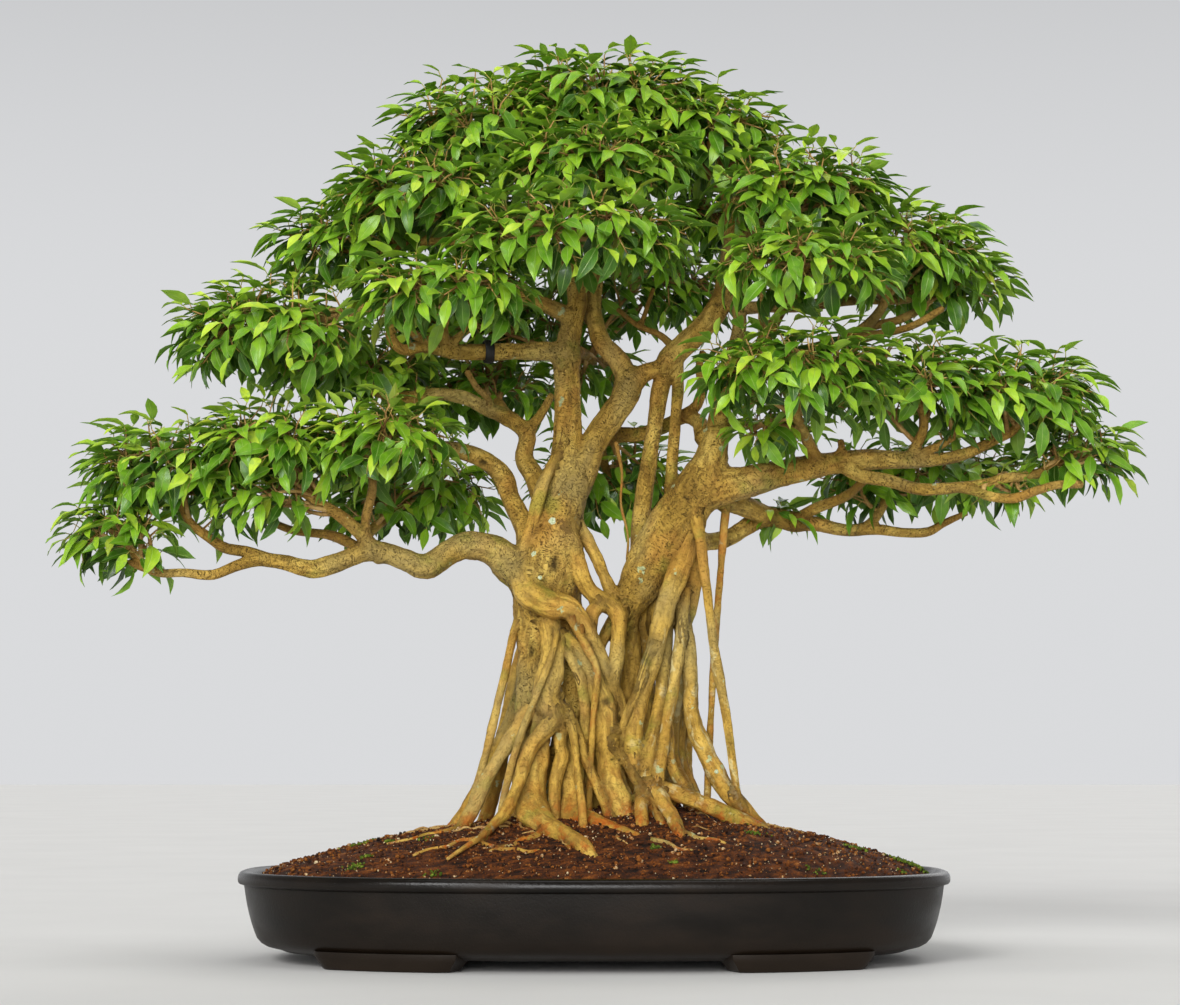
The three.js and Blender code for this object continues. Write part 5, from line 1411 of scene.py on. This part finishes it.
def melt_in(melt, points, outward):
    """Pushes a limb's points out to the melted surface: their moves, and the gap to the next limb."""
    chosen = melt.near(points)
    start = points.copy()
    gap, second = melt.distance(points, chosen)
    sunk = np.nonzero(gap < -MELT_TOLERANCE)[0]
    for _ in range(MELT_STEPS):
        if not len(sunk):
            break
        move = np.clip(-gap[sunk], 0, LONGEST_MOVE)
        points[sunk] += outward[sunk] * move[:, None]
        gap[sunk], second[sunk] = melt.distance(points[sunk], chosen)
    moved = ((points - start) * outward).sum(1)
    lost = moved > MELT_LIMIT
    points[lost] = start[lost]
    moved[lost] = 0
    return moved, second


def press_knots(name, points, outward):
    """Presses a limb's scars and hollows into its front, and returns how dark they are: partly the scars'
    own colour, partly painted shade in the hollows.
    """
    dark = np.zeros(len(points))
    nearness = 1 + (points[:, 1] - shift[1]) / VIEW_DISTANCE
    x = (points[:, 0] - shift[0]) / nearness
    z = EYE_HEIGHT + (points[:, 2] - EYE_HEIGHT) / nearness
    front = np.clip(-outward[:, 1] * 3, 0, 1)
    for limb, knot_x, knot_z, half_width, half_height, depth, darkness in KNOTS:
        if limb != name:
            continue
        far = np.hypot((x - knot_x) / half_width, (z - knot_z) / half_height)
        hollow = np.clip(1 - far**2, 0, 1) * front
        rim = np.exp(-(((far - 1.35) / 0.4) ** 2)) * front
        points += outward * (rim * 0.45 * depth - hollow * depth)[:, None]
        # The darkness is partly the scar's own colour and partly painted shade in the hollow.
        dark = np.maximum(dark, np.clip(hollow * 1.6, 0, 1) * darkness)
    return dark


def limb_relief(points, thick, angle, along, number, rooted, second):
    """How far lumps, lengthwise ridges and a fine grain lift a limb's points; ridges fade by a neighbour."""
    lumps = np.array([noise.noise(Vector(p / LUMP_SIZE)) for p in points])
    round_it = [np.cos(angle) * RIDGE_TIGHTNESS, np.sin(angle) * RIDGE_TIGHTNESS]
    ridged = np.stack([*round_it, along / RIDGE_LENGTH + number * 9.1], 1)
    ridges = np.array([noise.noise(Vector(p)) for p in ridged])
    open_air = np.clip(second / 10, 0, 1)
    grain = np.array([noise.fractal(Vector(p / FINE_LUMP_SIZE), 0.8, 2.2, 2) for p in points])
    uneven, coarse = ROOT_ROUGHNESS if rooted else WOOD_ROUGHNESS
    rise = thick * uneven * 2 * (LUMP_HEIGHT * lumps + RIDGE_HEIGHT * ridges * open_air)
    return rise + grain * np.clip(thick * coarse, *GRAIN_HEIGHTS)


def bark_look(name, points, thick, rooted, moved, second, dark):
    """What the bark needs at each point: how much painted shade it has where limbs crowd each other, where
    they melt together, on the inner roots and in the knots' hollows, with the scars' own darkness; how
    young, how rusty and how old.
    """
    # Painted shade: darker where a second limb lies close by and where points were pushed out to melt limbs
    # together.
    painted_crowd_shade = np.clip(1 - second / 11, 0, 1) ** 2 * 0.75
    painted_shade_and_scars = np.maximum(np.clip(moved / 2, 0, 1) * 0.75, painted_crowd_shade) * (1.0 if rooted else 0.35)
    painted_shade_and_scars = np.maximum(painted_shade_and_scars, dark)
    # The inner roots get a floor of painted shade.
    if name in INNER_ROOTS:
        painted_shade_and_scars = np.maximum(painted_shade_and_scars, INNER_ROOT_PAINTED_SHADE)
    height = points[:, 2]
    young = np.clip((6.2 - thick) / 3.5, 0, 1) * np.clip((height - 300) / 150, 0, 1)
    above = height - mound_height(points[:, 0], points[:, 1])
    rust = np.maximum(np.clip(1.1 - above / 19, 0, 1), np.clip(0.34 - above / 240, 0, 1))
    if name in RED_ROOTS:
        rust = np.maximum(rust, RED_ROOT_RUST)
    old = np.full(len(points), 0.3 if rooted else 1.0)
    return np.stack([painted_shade_and_scars, young, rust, old], 1)


def add_limb(shell, melt, number, name, group, path, radii):
    """One limb: a tube melted into its neighbours, with ridges, lumps and what its bark needs."""
    sides = int(np.clip(round(2 * math.pi * radii.max() / SIDE_LENGTH), FEWEST_SIDES, MOST_SIDES))
    rings, out, ends = tube(path, radii, sides)
    points, outward = rings.reshape(-1, 3), out.reshape(-1, 3)
    rooted = "root" in group
    moved, second = melt_in(melt, points, outward)
    thick = np.repeat(radii, sides)
    along = np.repeat(np.arange(len(path)) * np.linalg.norm(path[1] - path[0]), sides)
    angle = np.tile(np.linspace(0, 2 * math.pi, sides, endpoint=False), len(path))
    limb_at = np.stack([thick * np.cos(angle), thick * np.sin(angle), along + number * LIMB_STRIDE], 1)
    points += outward * limb_relief(points, thick, angle, along, number, rooted, second)[:, None]
    dark = press_knots(name, points, outward)
    look = bark_look(name, points, thick, rooted, moved, second, dark)
    shell.add_rings(
        points.reshape(rings.shape), ends, bark_look=np.concatenate([look, look[[0, -1]]]),
        limb_at=np.concatenate([limb_at, limb_at[[0, -1]] * [0, 0, 1]]) * MM,
    )


def make_lichens(material):
    """Thin round lichens with lobed edges, which follow the bark that they grow on."""
    points = []
    faces = []
    for piece in WOOD_PIECES:
        mesh = bpy.data.objects[piece].data
        faces += [[len(points) + i for i in face.vertices] for face in mesh.polygons]
        points += [corner.co / MM for corner in mesh.vertices]
    bark = BVHTree.FromPolygons(points, faces)
    eye = Vector((shift[0], shift[1] - VIEW_DISTANCE, EYE_HEIGHT))
    around = np.linspace(0, 2 * math.pi, LICHEN_SIDES, endpoint=False)
    shell = Shell()
    for x, z, radius in LICHENS:
        far = Vector((x + shift[0], shift[1], z + shift[2]))
        middle, normal = bark.ray_cast(eye, (far - eye).normalized())[:2]
        across = normal.cross(Vector(UP)).normalized()
        up = across.cross(normal)
        lobes = 1 + 0.09 * np.sin(around * 5 + x) + 0.06 * np.sin(around * 3 + z)
        rings = []
        for share, height in LICHEN_RINGS:
            for angle, lobe in zip(around, lobes):
                reach = radius * share * lobe
                at = middle + across * (math.cos(angle) * reach) + up * (math.sin(angle) * reach)
                on_bark, out = bark.find_nearest(at)[:2]
                rings.append(list(on_bark + out * (height * LICHEN_THICKNESS)))
        ends = [middle + normal * LICHEN_THICKNESS, middle - normal * LICHEN_THICKNESS * 2]
        shell.add_rings(np.array(rings).reshape(-1, LICHEN_SIDES, 3), ends)
    shell.build("wood_lichens", [material], ["wood"])


def make_band(limbs, material):
    """The dark ring slipped over a branch."""
    _, path, radii = limbs["banded"]
    middle = round(BAND_PLACE * (len(path) - 1))
    axis = unit(path[middle + 1] - path[middle - 1])
    side = unit(np.cross(axis, UP))
    up = np.cross(axis, side)
    angle = np.linspace(0, 2 * math.pi, BAND_SIDES, endpoint=False)[:, None]
    round_it = side * np.cos(angle) + up * np.sin(angle)
    base = radii[middle] * (1 + 2 * LUMP_HEIGHT) + 0.3
    profile = BAND_PROFILE + BAND_PROFILE[:1]
    rings = np.stack([path[middle] + axis * a + round_it * (base + b) for a, b in profile])
    shell = Shell()
    shell.add(rings.reshape(-1, 3), wrapped_quads(len(rings), BAND_SIDES)[:, ::-1])
    band = shell.build("band_ring", [material], ["branch_band"])
    band.data.set_sharp_from_angle(angle=math.radians(BAND_SHARP_ANGLE))


# The foliage.

# A leaf: where its stem starts, its base, direction, upper side, length and tone, and if it is deep inside.
Leaf = namedtuple("Leaf", "spot base along upper length tone inner")


def bend(start, end, lift, count):
    """A bowed path between two points."""
    t = np.linspace(0, 1, count)[:, None]
    middle = (start + end) / 2 + lift
    return start * (1 - t) ** 2 + middle * 2 * t * (1 - t) + end * t**2


def second_branches(rng, turn, middle, reach, spine):
    """The branches that fan out inside a pad, as bowed paths from the wood near it."""
    paths = []
    for i in range(SECOND_BRANCHES):
        around = turn + i * 2 * math.pi / SECOND_BRANCHES + rng.uniform(-0.3, 0.3)
        x, y = math.cos(around) * SECOND_REACH, math.sin(around) * SECOND_REACH
        goal = middle + np.array([x, y, rng.uniform(-0.1, 0.3)]) * reach
        root = spine[rng.integers(0, len(spine))]
        span = np.linalg.norm(goal - root)
        paths.append(bend(root, goal, UP * rng.uniform(4, 12) + rng.normal(0, 4 + span * 0.09, 3), 9))
    return paths


def pad_shoots(rng, middle, size, spine):
    """A pad's second branches, and its shoots as paths that end near the pad's surface."""
    low, high = (np.array(corner) / MM for corner in cad_box)
    reach = np.maximum(size - LEAF_REACH, size * 0.55)
    turn = rng.random() * FULL_TURN
    seconds = second_branches(rng, turn, middle, reach, spine)
    knots = np.concatenate([path[2:] for path in seconds] + [spine])
    pairs = [reach[0] * reach[1], reach[0] * reach[2], reach[1] * reach[2]]
    area = 2 * math.pi * (sum(pair**AREA_POWER for pair in pairs) / 3) ** (1 / AREA_POWER)
    outer = round(SHOOT_DENSITY * area / SHOOT_SPACING**2) + FEWEST_SHOOTS
    shoots = []
    for i in range(round(outer * (1 + INNER_SHARE))):
        share = (i + 0.5) / outer if i < outer else rng.random()
        level = 1 - PAD_COVER * share
        around = i * GOLDEN_ANGLE + turn
        flat = math.sqrt(max(0, 1 - level**2))
        way = np.array([flat * math.cos(around), flat * math.sin(around), level])
        far = rng.uniform(*(OUTER_TIPS if i < outer else INNER_TIPS))
        tip = np.clip(middle + way * reach * far + rng.normal(0, 3, 3), low + TIP_ROOM, high - TIP_ROOM)
        root = knots[np.argmin(np.linalg.norm(knots - tip + UP * 12, axis=1) + rng.random(len(knots)) * 12)]
        lift = UP * rng.uniform(2, 10) * (1 if level > -0.1 else 0.3) + rng.normal(0, 3, 3)
        shoots.append((bend(root, tip, lift, 7), far, level))
    return seconds, shoots


def shoot_leaves(rng, path, far, level, middle, size):
    """The leaves of one shoot, from its tip backwards."""
    arc = np.concatenate([[0], np.cumsum(np.linalg.norm(np.diff(path, axis=0), axis=1))])
    count = rng.integers(*SHOOT_LEAVES)
    inner = far < INNER_BELOW
    found = []
    turn = rng.random() * FULL_TURN
    for j in range(count):
        back = j * LEAF_GAP * rng.uniform(0.85, 1.15)
        if back > arc[-1] * 0.92:
            break
        at = arc[-1] - back
        spot, ahead, behind = (
            np.array([np.interp(place, arc, path[:, i]) for i in range(3)])
            for place in (at, min(at + 4, arc[-1]), max(at - 6, 0))
        )
        axis = unit(ahead - behind)
        side = unit(np.cross(axis, UP) + rng.normal(0, 0.05, 3))
        over = np.cross(side, axis)
        spin = turn + j * LEAF_TURN + rng.uniform(-0.3, 0.3)
        open_angle = math.radians(min(42 + 10 * j, 82) + rng.uniform(-12, 12))
        ring = side * math.cos(spin) + over * math.sin(spin)
        heading = unit(axis * math.cos(open_angle) + ring * math.sin(open_angle) + UP * 0.1)
        outward = unit((spot - middle) / size)
        away = unit(outward * [1, 1, 0] + 1e-6)
        droop = 0.06 + 0.09 * j + rng.uniform(-0.2, 0.24) + 0.3 * (level < 0.1) + 0.16 * abs(away[1])
        from_trunk = unit((spot - shift) * [1, 1, 0] + 1e-6)
        blade = unit(heading * [1, 1, 0.7] + away * [0.2, 0.05, 0] + from_trunk * 0.32 - UP * droop)
        blade = unit(np.append(blade[:2], min(blade[2], 0.4 if j < 2 else 0.2)))
        upper = unit(UP * (0.85 + 0.25 * level) + outward * (0.6 - 0.25 * level) + rng.normal(0, 0.2, 3))
        upper = unit(upper - blade * np.dot(upper, blade))
        base = spot + heading * (PETIOLE_LENGTH * rng.uniform(0.8, 1.2))
        length = rng.uniform(*LEAF_LENGTHS) * (TIP_LEAF_LENGTH if j == 0 else 1.0)
        fresh = 0.28 * (j == 0) + 0.12 * (j == 1)
        # Tone: lighter high on the pad and darker low on it and deep inside it, painted light and shade;
        # lighter for the newest leaves at the tip; and random.
        tone = 0.45 + 0.22 * max(level, -0.4) + fresh + rng.normal(0, 0.15) - 0.34 * inner
        found.append(Leaf(spot, base, blade, upper, length, tone, inner))
    return found


def leaf_blades(leaves, rng, form):
    """All blades at once: thin closed sheets folded along the rib, arched and wavy at the edges."""
    base = np.array([leaf.base for leaf in leaves])[:, None]
    along = np.array([leaf.along for leaf in leaves])
    upper = np.array([leaf.upper for leaf in leaves])
    side = np.cross(upper, along)
    count = len(leaves)
    length = np.array([leaf.length for leaf in leaves])[:, None]
    width = length * LEAF_WIDTH * rng.uniform(0.9, 1.12, (count, 1)) / 2
    arch = rng.uniform(0.14, 0.5, (count, 1))
    fold = rng.uniform(0.12, 0.5, (count, 1))
    curl = rng.normal(0, 0.06, (count, 1))
    wave = rng.uniform(0.3, 1.3, (count, 1))
    phase = rng.random((count, 1)) * FULL_TURN
    s = np.array([[0, *form[:, 0], 1]])
    outline = np.array([[0, *form[:, 1], 0]])
    middle_z = length * (0.1 * s - arch * s**2)
    middle_x = length * (s - 0.25 * arch * s**3)
    bend_y = length * curl * s**2
    half = width * outline
    ripple = wave * np.sin(s * 9 + phase) * outline
    left = np.stack([middle_x, bend_y + half, middle_z + half * fold + ripple], -1)
    right = np.stack([middle_x, bend_y - half, middle_z + half * fold - ripple], -1)
    top = np.stack([middle_x, bend_y, middle_z], -1)
    low = top - [0, 0, RIB_THICKNESS]
    inner = np.stack([left, top, right, low], 2)[:, 1:-1].reshape(count, -1, 3)
    x, y, z = np.split(np.concatenate([top[:, :1], inner, top[:, -1:]], 1), 3, 2)
    points = base + along[:, None] * x + side[:, None] * y + upper[:, None] * z
    v = np.repeat(form[:, 0], 4)
    u = np.tile([0.0, 0.5, 1.0, 0.5], len(form))
    uv = np.concatenate([[[0.5, 0]], np.stack([u, v], 1), [[0.5, 1]]])
    return points, np.broadcast_to(uv, (count, *uv.shape))


def blade_faces(rings):
    """Quads and triangles of one blade, and which of its points are on the rim or underneath."""
    tip = rings * 4 + 1
    tris = []
    for j in range(4):
        k = (j + 1) % 4
        tris += [[0, 1 + k, 1 + j], [tip - 4 + j, tip - 4 + k, tip]]
    rim, under = np.zeros(tip + 1), np.zeros(tip + 1)
    rim[0] = rim[1::2] = under[4::4] = 1
    return wrapped_quads(rings, 4) + 1, np.array(tris), rim, under


def add_stems(shell, leaves):
    """Thin three-sided stems from the shoots to the blades."""
    start = np.array([leaf.spot for leaf in leaves])
    end = np.array([leaf.base + leaf.along * 1.2 for leaf in leaves])
    axis = unit(end - start)
    side = unit(np.cross(axis, np.array([0.3, 0.5, 0.8])))
    over = np.cross(axis, side)
    points = []
    for place in (start, end):
        for i in range(3):
            a = i * 2 * math.pi / 3
            points.append(place + (side * math.cos(a) + over * math.sin(a)) * PETIOLE_RADIUS)
    first = np.arange(len(leaves))[:, None, None] * 6
    quads = wrapped_quads(2, 3) + first
    tris = np.array([[2, 1, 0], [3, 4, 5]]) + first
    shell.add(np.stack(points, 1), quads.reshape(-1, 4), tris.reshape(-1, 3))


def add_blades(shell, rng, leaves, form):
    """Adds blades of one form to a piece, and returns the leaves that stay inside the tree's box."""
    low, high = (np.array(corner) / MM for corner in cad_box)
    quads, tris, rim, under = blade_faces(len(form))
    points, uv = leaf_blades(leaves, rng, form)
    inside = ((points > low) & (points < high)).all((1, 2))
    points, uv = points[inside], uv[inside]
    count, corners = points.shape[:2]
    tone = np.array([leaf.tone for leaf in leaves])[inside]
    look = np.stack([tone, rng.random(count), rng.random(count)], 1)
    first = np.arange(count)[:, None, None] * corners
    shell.add(
        points, (quads + first).reshape(-1, 4), (tris + first).reshape(-1, 3),
        leaf_uv=uv.reshape(-1, 2), leaf_look=np.repeat(look, corners, 0),
        rim=np.tile(rim, count)[:, None], under=np.tile(under, count)[:, None],
    )
    return [leaf for leaf, kept in zip(leaves, inside) if kept]


def make_foliage(limbs, upper, lower, stem, twig):
    """One piece of leaves for each pad, and all their twigs and stems."""
    twigs = Shell()
    stems = Shell()
    branch_points = np.concatenate([
        path for group, path, _ in limbs.values() if group in ("trunks", "branches", "fine_twigs")
    ])
    for number, (name, pad) in enumerate(PADS.items()):
        rng = np.random.default_rng(SEED + 10 + number)
        leaves = []
        for front, size in [pad[:2], *LOBES.get(name, [])]:
            middle = placed([front])[0][0]
            size = np.array(size, float)
            spine = branch_points[np.argsort(np.linalg.norm((branch_points - middle) / size, axis=1))[:24]]
            seconds, shoots = pad_shoots(rng, middle, size, spine)
            for second in seconds:
                add_tube(twigs, second[::2], np.linspace(2.8, 1.5, 5), 5)
            for shoot, far, level in shoots:
                add_tube(twigs, shoot[::3], np.linspace(1.5, 0.7, 3), 3)
                leaves += shoot_leaves(rng, shoot, far, level, middle, size)
        shell = Shell()
        outer = add_blades(shell, rng, [leaf for leaf in leaves if not leaf.inner], OUTER_LEAF)
        inner = add_blades(shell, rng, [leaf for leaf in leaves if leaf.inner], INNER_LEAF)
        node = f"foliage_{name}"
        shell.build(f"leaves_{name}", [upper, lower], [node], "leaf_uv", "rim", "under")
        add_stems(stems, outer + inner)
    twigs.build("wood_shoots", [twig], ["wood"])
    stems.build("leaf_stems", [stem])


def dress_screens(material):
    """Gives the two drain screens their plastic."""
    for side in ("left", "right"):
        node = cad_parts[f"drain_screen_{side}"]
        node.data.materials.clear()
        node.data.materials.append(material)


# The stage: a plain pale floor, soft lights and the camera.

def make_stage():
    """A plain floor, the world's light and the lamps."""
    n = Nodes("studio_paper")
    grain = n.noise(n.object_at(), 4, 2)
    paper = n.finish(n.ramp(grain, [(0.3, 0xd9d8d5), (0.7, 0xdddcd9)]), 0.85, None, 0.2)
    bpy.ops.mesh.primitive_plane_add(size=FLOOR_SIZE)
    floor = bpy.context.object
    floor.name = "floor"
    floor.data.materials.append(paper)
    make_world()
    for name, place, width, power in LIGHTS:
        data = bpy.data.lights.new(name, "SUN")
        data.angle = math.radians(width)
        data.energy = power
        light = bpy.data.objects.new(name, data)
        light.location = place
        aim = -light.location
        light.rotation_euler = aim.to_track_quat("-Z", "Y").to_euler()
        bpy.context.scene.collection.objects.link(light)


def make_world():
    """Pale by the horizon, as a studio's far wall, and dimmer overhead."""
    world = bpy.data.worlds.new("studio")
    world.use_nodes = True
    tree = world.node_tree
    at = tree.nodes.new("ShaderNodeTexCoord")
    split = tree.nodes.new("ShaderNodeSeparateXYZ")
    level = tree.nodes.new("ShaderNodeMapRange")
    level.interpolation_type = "SMOOTHSTEP"
    limits = {"From Min": 0.12, "From Max": 0.5, "To Min": HORIZON_LIGHT, "To Max": OVERHEAD_LIGHT}
    for key, value in limits.items():
        level.inputs[key].default_value = value
    background = tree.nodes["Background"]
    background.inputs["Color"].default_value = WORLD_COLOUR
    tree.links.new(at.outputs["Generated"], split.inputs[0])
    tree.links.new(split.outputs["Z"], level.inputs["Value"])
    tree.links.new(level.outputs["Result"], background.inputs["Strength"])
    bpy.context.scene.world = world


def make_camera():
    """The camera of the photo's view, level with a point low on the tree and tilted up."""
    data = bpy.data.cameras.new("camera")
    data.sensor_width = SENSOR_WIDTH
    data.lens = FOCAL_LENGTH
    camera = bpy.data.objects.new("camera", data)
    place = Vector((AIM_X + shift[0], shift[1] - VIEW_DISTANCE, EYE_HEIGHT)) * MM
    aim = Vector((AIM_X + shift[0], shift[1], AIM_HEIGHT)) * MM
    camera.location = place
    camera.rotation_euler = (aim - place).to_track_quat("-Z", "Y").to_euler()
    bpy.context.scene.collection.objects.link(camera)
    bpy.context.scene.camera = camera


bpy.context.scene.view_settings.view_transform = "Standard"
make_camera()
make_stage()
make_pot(glaze_material())
soil = soil_material()
moss = moss_material()
make_soil(soil)
scatter_grains(soil)
scatter_moss(moss)
limbs = gather_limbs()
build_wood(limbs, bark_material())
make_lichens(lichen_material())
twigs = twig_material()
make_stray_roots(twigs)
make_band(limbs, moulded_material("band_rubber", 700, 0x060606, 0x0f0e0d, (0.45, 0.65)))
dress_screens(moulded_material("screen_plastic", 600, 0x1c1f1a, 0x2b2e26, (0.5, 0.7)))
make_foliage(
    limbs,
    leaf_material("leaf_upper", [
        (0.0, 0x1d3d07), (0.25, 0x417410), (0.5, 0x79ae22), (0.72, 0xa6d02e), (0.95, 0xd0ea44),
    ], 0.28, 0.22, -1.0),
    leaf_material("leaf_lower", [
        (0.0, 0x34591a), (0.3, 0x5c8728), (0.6, 0x8ab53a), (0.95, 0xbfdc55),
    ], 0.55, 0.3, 1.0),
    petiole_material(), twigs,
)
